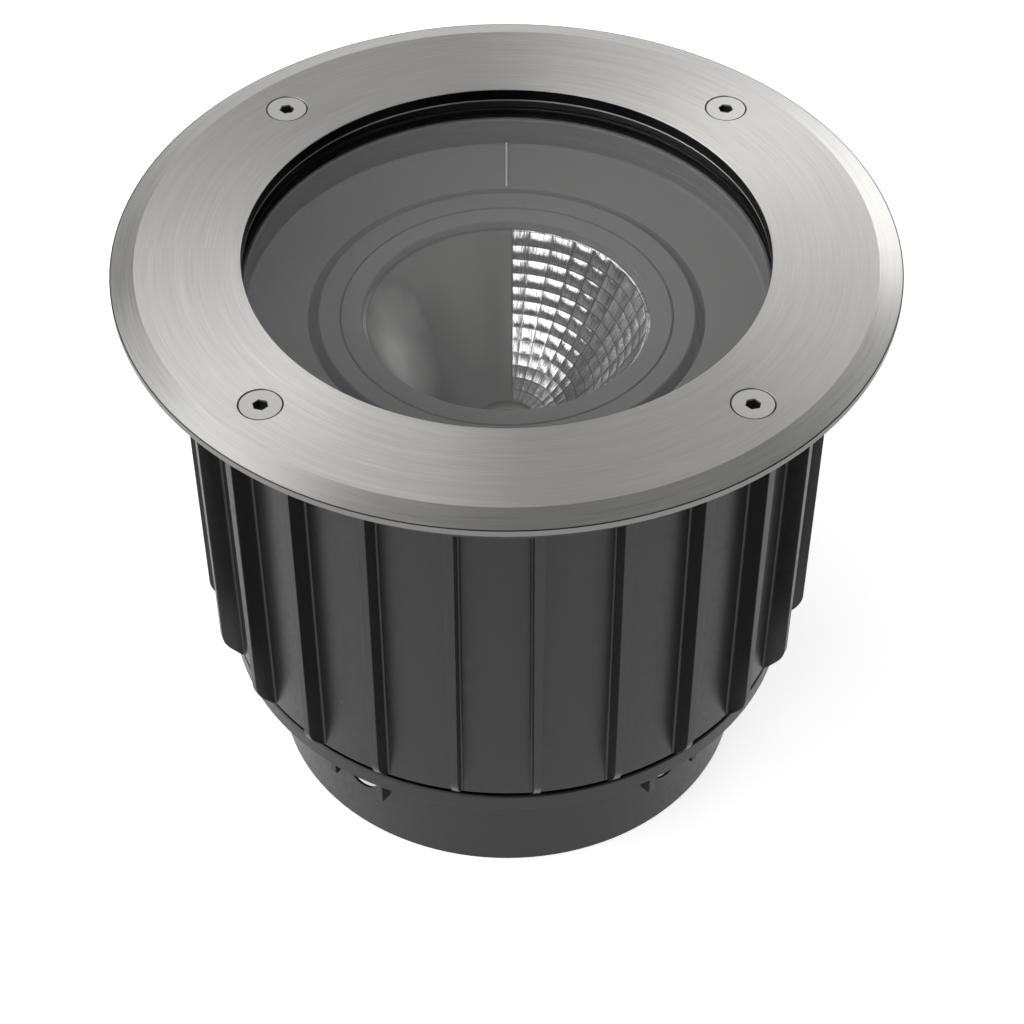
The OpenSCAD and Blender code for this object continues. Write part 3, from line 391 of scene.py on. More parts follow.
@dataclass(frozen=True)
class MouldedPlastic(Finish):
    """Injection moulded polymer: a soft sheen, a fine spark-eroded grain and rounded edges.

    Its broad flow marks run upwards. The slot is a narrow band of heights, from
    low to high within a radius, where the shade in the gap between parts is painted nearly black.
    """

    shades: Pair = (0.9, 1.12)
    blot: float = 30.0
    depth: float = 0.012
    strength: float = 0.5
    edge: float = 0.45
    grain: float = 0.5
    flow: float = 2.5
    ior: float = 1.5
    dust: float = 0.0
    dust_cell: float = 7.0
    dust_radius: float = 0.32
    slot: Triple = (0.0, 0.0, 0.0)

    def build(self) -> None:
        """Make the material."""
        tree, shader = self.start()
        place = Place(tree)
        shader.inputs["IOR"].default_value = self.ior
        self.tint(shader, place.noise(self.blot, 3, (1, 1, self.flow)))
        self.sheen(shader, place.noise(self.grain * 4, 3))
        self.relief(shader, place.noise(self.grain))
        if self.dust:
            specks = place.specks(self.dust_cell, self.dust_radius, self.dust)
            self.stain(shader, specks, Stain.DUST)
        # painted shade: the gap between the sleeve and its base ring is painted nearly black
        if any(self.slot):
            self.stain(shader, self.painted_gap_shade(place), Stain.GAP_SHADE)

    def painted_gap_shade(self, place: Place) -> Node:
        """Find the narrow slot, where the shade is painted.

        Args:
            place: where the pattern lies.

        Returns:
            A mask that is 1 in the slot.
        """
        radius, _, height = place.polar()
        low, high, reach = self.slot
        inside = ramp(radius, reach - 3 * BLEND, reach, 1.0, 0.0)
        above = maths("GREATER_THAN", height, low)
        below = maths("LESS_THAN", height, high)
        level = maths("MULTIPLY", above, below)
        return maths("MULTIPLY", inside, level)


@dataclass(frozen=True)
class BrushedRing(Finish):
    """Stainless steel brushed round an upright axis: fine arcs and light drawn out across them.

    Strokes are the belt's lines, its finer lines and its broad bands, each with
    its spacing as a share, its changes in a radian and its octaves.
    """

    shades: Pair = (0.89, 1.11)
    depth: float = 0.004
    strength: float = 0.35
    edge: float = 0.2
    centre: Pair = (0.0, 0.0)
    folded: bool = False
    spacing: float = 0.32
    strokes: tuple[Triple, ...] = ((1.0, 2.6, 3.0), (0.45, 6.0, 1.0), (6.0, 1.9, 4.0))
    band_weight: float = 0.28
    tones: Pair = (0.36, 0.64)
    stretch: float = 0.7
    bore: float = 0.0
    bore_edge: float = 0.0
    rim: float = 0.0
    rim_top: float = 0.0
    corner: Pair = (0.22, 0.26)
    bevel: float = 0.0
    bevel_roughness: float = 0.31
    seat: Triple = (0.0, 0.0, 0.0)
    socket_z: float = 0.0
    seat_edge: float = 0.0

    def build(self) -> None:
        """Make the material."""
        tree, shader = self.start()
        place = Place(tree, self.centre, self.folded)
        lines, fine, bands = (
            place.round_lines(self.spacing * share, turns, detail)
            for share, turns, detail in self.strokes
        )
        streaks = add(tree, "Mix", {"Factor": 0.5, "A": lines, "B": fine})
        both = add(tree, "Mix", {"Factor": self.band_weight, "A": streaks, "B": bands})
        self.tint(shader, ramp(both, *self.tones))
        rough = self.sheen(shader, streaks)
        if self.bevel:
            # the bevel is turned after brushing, so it is smoother
            start, end = self.bevel - BLEND / 2, self.bevel + BLEND / 2
            change = self.roughness - self.bevel_roughness
            turned = ramp(place.polar()[0], start, end, 0.0, change)
            smoother = maths("SUBTRACT", rough, turned)
            tree.links.new(smoother.outputs[0], shader.inputs["Roughness"])
        self.relief(shader, streaks)
        # strokes run round the ring, so light is drawn out across them
        shader.inputs["Anisotropic"].default_value = self.stretch
        shader.inputs["Anisotropic Rotation"].default_value = QUARTER_TURN
        if not self.folded:
            tangent = add(tree, "Tangent", direction_type="RADIAL", axis="Z")
            tree.links.new(tangent.outputs[0], shader.inputs["Tangent"])
        # painted shade and highlights at the bore, the corner and the screws, and a darker outer
        # wall
        for mask, stain in self.painted_light_places(place):
            self.stain(shader, mask, stain)

    def painted_light_places(self, place: Place) -> list[tuple[Node, Stain]]:
        """Find where shade and highlights are painted on the steel, and where its outer wall is
        darker.

        Args:
            place: where the pattern lies.

        Returns:
            Masks with the stain of each, in the order in which they are laid on.
        """
        radius, _, height = place.polar()
        found = []
        if self.bore:
            # painted shade: the wall of the opening is painted near black
            start, end = self.bore + BLEND / 2, self.bore + 3 * BLEND / 2
            bore_shade = ramp(radius, start, end, 1.0, 0.0)
            found.append((bore_shade, Stain.BORE_SHADE))
            # painted highlight: a thin bright line along its lower edge
            edge = ramp(height, self.bore_edge, self.bore_edge + BLEND, 1.0, 0.0)
            found.append((maths("MULTIPLY", bore_shade, edge), Stain.BORE_HIGHLIGHT))
        if self.rim:
            # the outer wall below the top is darker than the brushed face
            start, end = self.rim - 3 * BLEND / 2, self.rim - BLEND
            outside = ramp(radius, start, end)
            low = ramp(height, self.rim_top - BLEND, self.rim_top, 1.0, 0.0)
            found.append((maths("MULTIPLY", outside, low), Stain.DARKER_RIM_WALL))
            # painted shade: a fine dark line along the corner above it
            near = ramp(radius, self.bevel, self.bevel + BLEND)
            start, end = (self.rim_top + rise for rise in self.corner)
            below = ramp(height, start, end, 1.0, 0.0)
            line = maths("SUBTRACT", below, low)
            found.append((maths("MULTIPLY", near, line), Stain.CORNER_SHADE))
        if any(self.seat):
            # painted shade: a dark line in the gap between a screw and its countersink
            x, y, reach = self.seat
            away = Place(place.tree, (x, y), True).polar()[0]
            seat = ramp(away, reach, reach + BLEND, 1.0, 0.0)
            found.append((seat, Stain.SEAT_SHADE))
        if self.socket_z:
            # painted shade: a screw's socket is dark inside, and the gap's dark line also lies on
            # its head's edge
            start, end = self.socket_z - 2 * BLEND, self.socket_z
            socket = ramp(height, start, end, 1.0, 0.0)
            head = ramp(radius, self.seat_edge - BLEND, self.seat_edge)
            found += [(socket, Stain.SOCKET_SHADE), (head, Stain.SEAT_SHADE)]
        return found


@dataclass(frozen=True)
class PowderCoat(Finish):
    """Powder coat on a die casting: a slight orange-peel and soft edges."""

    shades: Pair = (0.92, 1.1)
    edge: float = 0.5
    peel: float = 1.1

    def build(self) -> None:
        """Make the material."""
        tree, shader = self.start()
        place = Place(tree)
        self.tint(shader, place.noise(self.blot, 3))
        self.relief(shader, place.noise(self.peel, 1))


@dataclass(frozen=True)
class Silicone(Finish):
    """Moulded silicone rubber: dull, with a bloom of dust."""

    shades: Pair = (0.8, 1.3)
    blot: float = 6.0
    strength: float = 0.3
    bloom: float = 0.8

    def build(self) -> None:
        """Make the material."""
        tree, shader = self.start()
        place = Place(tree)
        self.tint(shader, place.noise(self.blot, 4))
        self.relief(shader, place.noise(self.bloom))


@dataclass(frozen=True)
class MetallisedCoat(Finish):
    """Aluminium vapour on a moulding: satin, with the moulding's faint ripple below it.

    The cloud is a point and a reach where a highlight is painted: the colour goes pale
    and less metallic. Its fade is the shares of the reach between which it thins out,
    and its swing the blot and depth of its uneven edge.
    """

    shades: Pair = (0.96, 1.04)
    blot: float = 60.0
    sheens: Pair = (-0.084, 0.105)
    depth: float = 0.004
    strength: float = 0.2
    ripple: float = 30.0
    cloud: tuple[float, float, float, float] = (0.0, 0.0, 0.0, 0.0)
    cloud_fade: Pair = (0.45, 1.25)
    cloud_swing: Pair = (0.7, 0.5)
    cloud_metal: float = 0.1

    def build(self) -> None:
        """Make the material."""
        tree, shader = self.start()
        place = Place(tree)
        self.tint(shader, place.noise(self.blot))
        if any(self.cloud):
            # painted highlight: one soft cloud where the colour goes pale and less metallic
            highlight = self.painted_highlight(place)
            self.stain(shader, highlight, Stain.SATIN_HIGHLIGHT)
            metal = ramp(highlight, 0.0, 1.0, self.metallic, self.cloud_metal)
            tree.links.new(metal.outputs[0], shader.inputs["Metallic"])
        self.sheen(shader, place.noise(self.ripple))
        self.relief(shader, place.noise(self.ripple, 1))

    def painted_highlight(self, place: Place) -> Node:
        """Find the cloud where the highlight is painted.

        Args:
            place: where the pattern lies.

        Returns:
            A mask that is 1 in the middle of the cloud.
        """
        tree = place.tree
        *centre, reach = self.cloud
        near = [place.point(), tuple(centre)]
        away = add(tree, "VectorMath", near, operation="DISTANCE").outputs["Value"]
        blot, swing = (reach * share for share in self.cloud_swing)
        uneven = maths("MULTIPLY_ADD", place.noise(blot), swing, away)
        start, end = (reach * share for share in self.cloud_fade)
        return ramp(uneven, start, end, 1.0, 0.0)


@dataclass(frozen=True)
class StruckMirror(Finish):
    """Aluminium sheet struck into facets and brightened: fluted down the bowl, with painted shade
    in the grooves.

    The flutes are counted in one radian, and change once over their length.
    """

    shades: Pair = (0.35, 1.0)
    depth: float = 0.06
    strength: float = 1.0
    flutes: float = 80.0
    length: float = 5.0
    tones: Pair = (0.36, 0.5)

    def build(self) -> None:
        """Make the material, whose flutes draw a reflection out sideways."""
        tree, shader = self.start()
        place = Place(tree)
        _, angle, height = place.polar()
        across = maths("MULTIPLY", angle, self.flutes)
        down = maths("DIVIDE", height, self.length)
        flutes = place.noise_at(add(tree, "CombineXYZ", [across, down]), 3, STREAKY)
        self.tint(shader, ramp(flutes, *self.tones))
        # painted shade: the grooves between the facets are painted dark
        groove = add(tree, "Attribute", attribute_name="groove").outputs["Fac"]
        self.stain(shader, groove, Stain.GROOVE_SHADE)
        self.relief(shader, flutes)


@dataclass(frozen=True)
class BareMetal(Finish):
    """Bare machined metal: straight tool marks and a slight stain."""

    shades: Pair = (0.9, 1.06)
    blot: float = 12.0
    sheens: Pair = (-0.06, 0.08)
    depth: float = 0.008
    strength: float = 0.3
    marks: float = 0.6
    mark_length: float = 40.0

    def build(self) -> None:
        """Make the material."""
        tree, shader = self.start()
        place = Place(tree)
        lines = place.noise(self.marks, 2, (self.mark_length, 1, 1))
        self.tint(shader, place.noise(self.blot, 3))
        self.sheen(shader, lines)
        self.relief(shader, lines)


@dataclass(frozen=True)
class ToughenedGlass(Finish):
    """Clear float glass: bends what lies under it, and lets most light through."""

    ior: float = 1.5
    shade: str = "#eeeeee"

    def build(self) -> None:
        """Make the material, which lets lamps shine through as real glass does."""
        tree, shader = self.start()
        shader.inputs["Transmission Weight"].default_value = 1.0
        shader.inputs["IOR"].default_value = self.ior
        surface = shader.outputs[0].links[0].to_socket
        clear = add(tree, "BsdfTransparent", [linear(self.shade)])
        shadow = add(tree, "LightPath").outputs["Is Shadow Ray"]
        mix = add(tree, "MixShader", [shadow, shader, clear])
        tree.links.new(mix.outputs[0], surface)


# polypropylene, moulded with a fine grain: a soft sheen on near black, with painted shade in the
# gap above the base
SLEEVE_PLASTIC = MouldedPlastic(
    "moulded_polypropylene_black", "#1b1b1c", 0.36, dust=0.16, slot=(44.0, 48.3, 86.4), ior=1.44
)
# die-cast aluminium under black powder coat: dull, with an orange-peel
HOUSING_COAT = PowderCoat("powder_coat_black", "#26272a", 0.48)
# stainless steel 316 brushed in a ring: light fans out across the strokes
TRIM_STEEL = BrushedRing("brushed_stainless_ring", "#e6e5e2", 0.5, 1.0, stretch=0.84)
# stainless steel, turned: smoother than the ring, with arcs round each screw
SCREW_STEEL = BrushedRing(
    "turned_stainless_screws", "#e4e3e1", 0.36, 1.0, shades=(0.96, 1.04), spacing=0.25, edge=0.12
)
# small steel screws and inserts, zinc plated: bright and a little uneven
SMALL_STEEL = BareMetal("bright_steel_screws", "#bdbdbe", 0.3, 1.0)
# silicone rubber, moulded: near black and dull, with a bloom
SEAL_RUBBER = Silicone("silicone_rubber_black", "#141415", 0.6)
# float glass, toughened: clear, and darkens what is below it a trace
COVER_GLASS = ToughenedGlass("toughened_clear_glass", "#fbfbfa", 0.0)
# polycarbonate, moulded satin: an even grey with a soft sheen
BAFFLE_GREY = MouldedPlastic(
    "moulded_polycarbonate_grey",
    "#6c6c6c",
    0.4,
    blot=60.0,
    sheens=(-0.015, 0.015),
    depth=0.001,
    edge=0.25,
    grain=0.35,
)
# aluminium, struck and brightened: streaks of light in every facet, and painted shade in the
# grooves
FACET_MIRROR = StruckMirror("struck_bright_aluminium", "#eeeeef", 0.1, 1.0)
# aluminium vapour on a satin moulding: soft broad reflections, and one painted highlight
SATIN_MIRROR = MetallisedCoat(
    "metallised_satin", "#848483", 0.42, 1.0, cloud=(-33.5, 0.0, 138.5, 22.0)
)
# aluminium, milled and bare: straight tool marks
HEAT_SINK_METAL = BareMetal("milled_aluminium", "#b9bbbd", 0.36, 1.0)
# silicone, laid from a nozzle: off-white and dull
DAM_WHITE = Silicone("silicone_dam_white", "#dcdad2", 0.5)
# a pale dull line over the raised index mark, which stands in for the light it catches: a painted
# highlight
INDEX_HIGHLIGHT = Silicone("index_highlight_pale", "#f4f4f0", 0.5)
# brass, machined: warm and half bright
BRASS = BareMetal("plain_brass", "#c39a55", 0.3, 1.0)
# solder resist, printed: an even off-white with a faint grain
BOARD_WHITE = MouldedPlastic("solder_resist_white", "#e6e3d9", 0.45, grain=0.4, depth=0.004)
# phosphor in silicone, cast: a full warm yellow, slightly glossy
PHOSPHOR = MouldedPlastic("phosphor_yellow", "#e0b23f", 0.35, grain=0.4, depth=0.004)
# glass-filled polyester, moulded: off-white and half dull
HOLDER_WHITE = MouldedPlastic("moulded_polyester_white", "#d8d5cd", 0.45)
# polycarbonate, moulded: off-white with a soft sheen
GEAR_WHITE = MouldedPlastic("moulded_polycarbonate_white", "#dddad1", 0.4)
# silicone insulation, extruded: smooth, in red and in blue
LEAD_RED = MouldedPlastic("insulation_red", "#8c2019", 0.35)
LEAD_BLUE = MouldedPlastic("insulation_blue", "#2c5c8a", 0.35)
# glass-filled polyamide, moulded: dark grey and half dull
GLAND_BLACK = MouldedPlastic("moulded_polyamide_black", "#2b2c2e", 0.45)


def bridge(
    form: bmesh.types.BMesh, loops: list[list[bmesh.types.BMVert]], around: bool = False
) -> None:
    """Join closed outlines one after another.

    Args:
        form: the mesh under construction.
        loops: outlines with the same number of points.
        around: whether the last outline is joined to the first, in place of a
            face that closes each of the two.
    """
    for one, two in zip(loops, loops[1:] + (loops[:1] if around else [])):
        for i, start in enumerate(one):
            j = (i + 1) % len(one)
            form.faces.new((start, one[j], two[j], two[i]))
    if not around:
        form.faces.new(list(reversed(loops[0])))
        form.faces.new(loops[-1])


def piece(
    form: bmesh.types.BMesh, name: str, body: Body, finish: Finish, smooth: bool = False
) -> bpy.types.Object:
    """Turn a finished form into a piece that rides on a body.

    Args:
        form: the mesh under construction, which is freed.
        name: name of the piece.
        body: the body that it rides on.
        finish: its finish.
        smooth: whether its curved faces are shaded smooth, with sharp edges kept.

    Returns:
        The new object.
    """
    bmesh.ops.recalc_face_normals(form, faces=form.faces)
    for face in form.faces:
        face.smooth = smooth
    for edge in form.edges:
        edge.smooth = not (smooth and edge.is_manifold and edge.calc_face_angle(0.0) > SHARP)
    mesh = bpy.data.meshes.new(name)
    form.to_mesh(mesh)
    form.free()
    made = bpy.data.objects.new(name, mesh)
    bpy.context.scene.collection.objects.link(made)
    mesh.materials.append(finish.material())
    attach(made, body.value)
    LOG.info("%s: %s on %s", name, finish.name, body.value)
    return made


@dataclass
class SubAssembly:
    """A group of CAD pieces on one body, listed under their finishes."""

    frame: dict[str, Any]
    body: Body
    finishes: dict[Finish, list[str]]

    def dress(self) -> None:
        """Give each CAD piece its finish."""
        for finish, names in self.finishes.items():
            for name in names:
                slots = self.frame["nodes"][name].data.materials
                slots.clear()
                slots.append(finish.material())
                LOG.info("%s: %s on %s", name, finish.name, self.body.value)

    def build(self) -> None:
        """Dress the CAD pieces and add what they lack."""
        self.dress()


@dataclass
class Sleeve(SubAssembly):
    """The ribbed sleeve and its base, which stay in the ground."""

    top_z: float = 170.5
    foot_z: float = 48.1
    top_radius: float = 89.3
    draft: float = 1.08
    rib_count: int = 24
    first_rib: float = 5.4
    rib_top: float = 3.2
    rib_foot: float = 2.0
    collar: float = 2.5
    fillet: float = 0.7
    fillet_steps: int = 5
    fillet_lift: float = 0.6
    hidden: float = 0.15

    def wall_radius(self, z: float) -> float:
        """Give the radius of the outer wall at a height."""
        return self.top_radius - (self.top_z - z) * math.tan(math.radians(self.draft))

    def fillet_section(self, z: float, side: int) -> list[Vector]:
        """Give the outline of a fillet between a rib and the wall.

        Args:
            z: height of the outline.
            side: 1 or -1 for the rib's two sides.

        Returns:
            The points in the rib's own frame, with X pointing outwards.
        """
        share = (z - self.foot_z) / (self.top_z - self.foot_z)
        edge = (self.rib_foot + (self.rib_top - self.rib_foot) * share) / 2
        wall = self.wall_radius(z)
        points = [(wall - self.hidden, edge - self.hidden)]
        for step in range(self.fillet_steps + 1):
            turn = math.radians(90 * step / self.fillet_steps)
            out = self.fillet * (1 - math.sin(turn))
            along = edge + self.fillet * (1 - math.cos(turn))
            # the wall is round, so it dips away beside the rib
            dip = along**2 / (2 * wall)
            points.append((wall - dip + out, along))
        return [Vector((x, side * y, z)) for x, y in points]

    def fillets(self) -> bpy.types.Object:
        """Build the fillets at the roots of the ribs, where the light draws a thin line.

        Returns:
            The piece with all fillets.
        """
        form = bmesh.new()
        heights = (self.foot_z + self.fillet_lift, self.top_z - self.collar)
        for index in range(self.rib_count):
            turn = math.radians(self.first_rib + 360 * index / self.rib_count)
            spin = Matrix.Rotation(turn, 3, "Z")
            for side in (1, -1):
                sections = [self.fillet_section(z, side) for z in heights]
                bridge(form, [[form.verts.new(spin @ p * MM) for p in ps] for ps in sections])
        return piece(form, "rib_fillets", self.body, SLEEVE_PLASTIC, smooth=True)

    def build(self) -> None:
        """Dress the CAD pieces and add the fillets."""
        self.dress()
        self.fillets()


@dataclass
class Luminaire(SubAssembly):
    """The sealed pot with what it holds."""

    lamp_radius: float = 7.0
    dam_width: float = 0.9
    dam_height: float = 1.1
    dam_steps: int = 8
    dam_turns: int = 64
    mark_width: float = 0.5
    mark_lift: float = 0.03
    slope_foot: Pair = (58.1, 155.9)
    slope_top: Pair = (74.1, 158.4)
    mark_top_z: float = 160.4

    def lamp_dam(self) -> bpy.types.Object:
        """Build the white silicone dam that was laid round the lamp before it was filled.

        Returns:
            The piece.
        """
        form = bmesh.new()
        board_top_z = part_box("led_board")[1][2] / MM
        half = self.dam_width / 2
        profile = []
        for step in range(self.dam_steps + 1):
            turn = math.radians(180 * step / self.dam_steps)
            radius = self.lamp_radius + half + half * math.cos(turn)
            profile.append((radius, board_top_z + self.dam_height * math.sin(turn)))
        loops = []
        for step in range(self.dam_turns):
            spin = Matrix.Rotation(2 * math.pi * step / self.dam_turns, 3, "Z")
            loops.append([form.verts.new(spin @ Vector((r, 0.0, z)) * MM) for r, z in profile])
        bridge(form, loops, around=True)
        return piece(form, "lamp_dam", self.body, DAM_WHITE, smooth=True)

    def index_line(self) -> bpy.types.Object:
        """Build the index mark's painted highlight, from the slope a little way up the wall.

        Returns:
            The piece.
        """
        form = bmesh.new()
        half = self.mark_width / 2
        route = [self.slope_foot, self.slope_top, (self.slope_top[0], self.mark_top_z)]
        normals = [(0.0, 1.0), (-0.7, 0.7), (-1.0, 0.0)]
        rows = []
        for (y, z), (ny, nz) in zip(route, normals):
            ny, nz = self.mark_lift * ny, self.mark_lift * nz
            outer, inner = (y + ny, z + nz), (y - ny, z - nz)
            ring = [(-half, *inner), (half, *inner), (half, *outer), (-half, *outer)]
            rows.append([form.verts.new(Vector(p) * MM) for p in ring])
        bridge(form, rows)
        return piece(form, "index_line", self.body, INDEX_HIGHLIGHT)

    def build(self) -> None:
        """Dress the CAD pieces and add the lamp's dam and the index mark's painted highlight."""
        self.dress()
        self.lamp_dam()
        self.index_line()


@dataclass
class Cover(SubAssembly):
    """The trim ring, its screws, the glass and the two rubber rings."""

    opening_radius: float = 75.35
    bevel_radius: float = 105.6
    rim_radius: float = 112.5
    rim_top_z: float = 182.5
    screw_radius: float = 93.25
    screw_turn: float = 45.0
    highlight_rise: float = 0.35
    head_radius: float = 6.0
    head_top_z: float = 184.3
    seat_line: float = 0.15
    socket_chamfer: float = 0.4

    def dress(self) -> None:
        """Give the ring and its screws finishes that follow their own circles."""
        turn = math.radians(self.screw_turn)
        centre = (self.screw_radius * math.cos(turn), self.screw_radius * math.sin(turn))
        ring = replace(
            TRIM_STEEL,
            bore=self.opening_radius,
            bore_edge=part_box("trim_ring")[0][2] / MM + self.highlight_rise,
            rim=self.rim_radius,
            rim_top=self.rim_top_z,
            bevel=self.bevel_radius,
            seat=(*centre, self.head_radius + self.seat_line),
        )
        screws = replace(
            SCREW_STEEL,
            centre=centre,
            folded=True,
            socket_z=self.head_top_z - self.socket_chamfer,
            seat_edge=self.head_radius - self.seat_line,
        )
        self.finishes |= {ring: ["trim_ring"], screws: ["trim_screws"]}
        super().dress()


@dataclass
class Optic(SubAssembly):
    """The turning rings and the two halves of the reflector."""

    rim_radius: float = 40.6
    hole_radius: float = 9.0
    depth: float = 41.99
    rim_z: float = 152.9
    thickness: float = 1.2
    rows: int = 13
    columns: int = 36
    skew: float = 0.1
    split_x: float = 1.75
    neck: float = 1.4
    flange_radius: float = 47.8
    flange_height: float = 1.5
    bead: float = 0.3
    bead_steps: int = 6
    crown: float = 0.045
    steps: tuple[float, ...] = (-1.0, -0.86, -0.5, 0.0, 0.5, 0.86, 1.0)
    first_angle: float = -math.pi / 2
    weld: float = 0.002

    @property
    def focal(self) -> float:
        """Give the radius of curvature of the parabola at its bottom."""
        return self.rim_radius**2 / (2 * self.depth)

    @property
    def pitch(self) -> float:
        """Give the angle of one column of facets."""
        return 2 * math.pi / self.columns

    def height(self, radius: float) -> float:
        """Give the height of the reflector's face at a radius."""
        return self.rim_z - self.depth + radius**2 / (2 * self.focal)

    def row_radii(self) -> list[float]:
        """Give the radii between the rows, from the rim to the hole.

        Returns:
            One radius more than there are rows; a row is a little longer near the rim.
        """

        def arc(radius: float) -> float:
            """Give the length of the bowl's line from its bottom to a radius."""
            s = radius / self.focal
            return self.focal * (s * math.sqrt(1 + s * s) + math.asinh(s)) / 2

        mean = (arc(self.rim_radius) - arc(self.hole_radius)) / self.rows
        radii = [self.rim_radius]
        for row in range(1, self.rows):
            length = mean * (1 + self.skew * (1 - 2 * (row - 0.5) / self.rows))
            above = radii[-1]
            middle = above - length / 2 / math.hypot(1, above / self.focal)
            radii.append(above - length / math.hypot(1, middle / self.focal))
        return radii + [self.hole_radius]

    def on_side(self, radius: float, angle: float, z: float) -> Vector:
        """Give a point on a circle, held on the faceted side of the split.

        Args:
            radius: radius of the circle.
            angle: angle of the point, if that is on the faceted side.
            z: height of the point.

        Returns:
            The point.
        """
        limit = math.acos(self.split_x / radius)
        held = max(-limit, min(limit, angle))
        return Vector((radius * math.cos(held), radius * math.sin(held), z))

    def facet_line(self, low: float, high: float, s: float, radii: list[float]) -> list[Vector]:
        """Work out one line of points down a column of crowned facets.

        Args:
            low: angle of the column's one edge.
            high: angle of its other edge.
            s: place across the column, from -1 to 1.
            radii: radii between the rows.

        Returns:
            The points from the rim to the hole.
        """
        line = []
        for outer, inner in zip(radii, radii[1:]):
            top_low, top_high, foot_low, foot_high = (
                self.on_side(r, a, self.height(r)) for r in (outer, inner) for a in (low, high)
            )
            size = min((top_high - top_low).length, (foot_low - top_low).length)
            normal = (top_high - foot_low).cross(foot_high - top_low).normalized()
            # it points up, and is zero for a facet that the split leaves no width
            normal = normal if normal.z >= 0 else -normal
            u = (s + 1) / 2
            for t in self.steps[1:] if line else self.steps:
                flat = top_low.lerp(top_high, u).lerp(foot_low.lerp(foot_high, u), (t + 1) / 2)
                line.append(flat + normal * self.crown * size * (1 - s * s) * (1 - t * t))
        return line

    def shell_line(self, angle: float, radii: list[float]) -> list[Vector]:
        """Give the points of the shell's back, flange and bead at an angle.

        Args:
            angle: angle of the line.
            radii: radii between the rows.

        Returns:
            The points from the hole to the rim, which close the outline that the
            facets leave open.
        """
        points = []
        for radius in reversed(radii[1:]):
            lean = math.atan(radius / self.focal)
            out, down = self.thickness * math.sin(lean), self.thickness * math.cos(lean)
            points.append((radius + out, self.height(radius) - down))
        low = self.rim_z - self.flange_height
        points += [(self.rim_radius + self.neck, low), (self.flange_radius, low)]
        points.append((self.flange_radius, self.rim_z))
        # the rolled bead at the top of the bowl, which catches a bright line
        for step in range(self.bead_steps):
            turn = math.radians(180 * step / self.bead_steps)
            radius = self.rim_radius + self.bead + self.bead * math.cos(turn)
            points.append((radius, self.rim_z + self.bead * math.sin(turn)))
        return [self.on_side(radius, angle, z) for radius, z in points]

    def facets(self) -> bpy.types.Object:
        """Build the faceted half: crowned facets with grooves between them, in one sheet.

        Returns:
            The piece, whose points carry 1 in the attribute groove where they lie in one.
        """
        radii = self.row_radii()
        form = bmesh.new()
        groove = form.verts.layers.float.new("groove")
        down = [t for row in range(self.rows) for t in self.steps[1 if row else 0 :]]
        loops = []
        for column in range(self.columns // 2):
            low = self.first_angle + self.pitch * column
            high = self.first_angle + self.pitch * (column + 1)
            for s in self.steps[1 if column else 0 :]:
                loop = []
                for point, t in zip(self.facet_line(low, high, s, radii), down):
                    vert = form.verts.new(point * MM)
                    vert[groove] = float(max(abs(s), abs(t)) == 1.0)
                    loop.append(vert)
                angle = self.first_angle + self.pitch * (column + (s + 1) / 2)
                loop += [form.verts.new(p * MM) for p in self.shell_line(angle, radii)]
                loops.append(loop)
        bridge(form, loops)
        bmesh.ops.remove_doubles(form, verts=form.verts, dist=self.weld * MM)
        made = piece(form, "facet_bowl", self.body, FACET_MIRROR, smooth=True)
        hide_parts("faceted_reflector")
        return made

    def build(self) -> None:
        """Dress the CAD pieces and put the crowned facets in place of the flat ones."""
        self.dress()
        self.facets()


@dataclass(frozen=True)
class SoftPanel:
    """A soft-edged panel of light in the surround, with angles in degrees."""

    toward: Triple
    level: float
    inner: float
    outer: float

    def glow(self, tree: Tree, direction: Socket) -> Node:
        """Give the panel's light in a direction.

        Args:
            tree: the world's tree.
            direction: the unit vector that is looked along.

        Returns:
            Its level.
        """
        values = [direction, tuple(Vector(self.toward).normalized())]
        nearness = add(tree, "VectorMath", values, operation="DOT_PRODUCT").outputs["Value"]
        start, end = (math.cos(math.radians(angle)) for angle in (self.outer, self.inner))
        values = [nearness, start, end, 0.0, self.level]
        return add(tree, "MapRange", values, interpolation_type="SMOOTHSTEP")


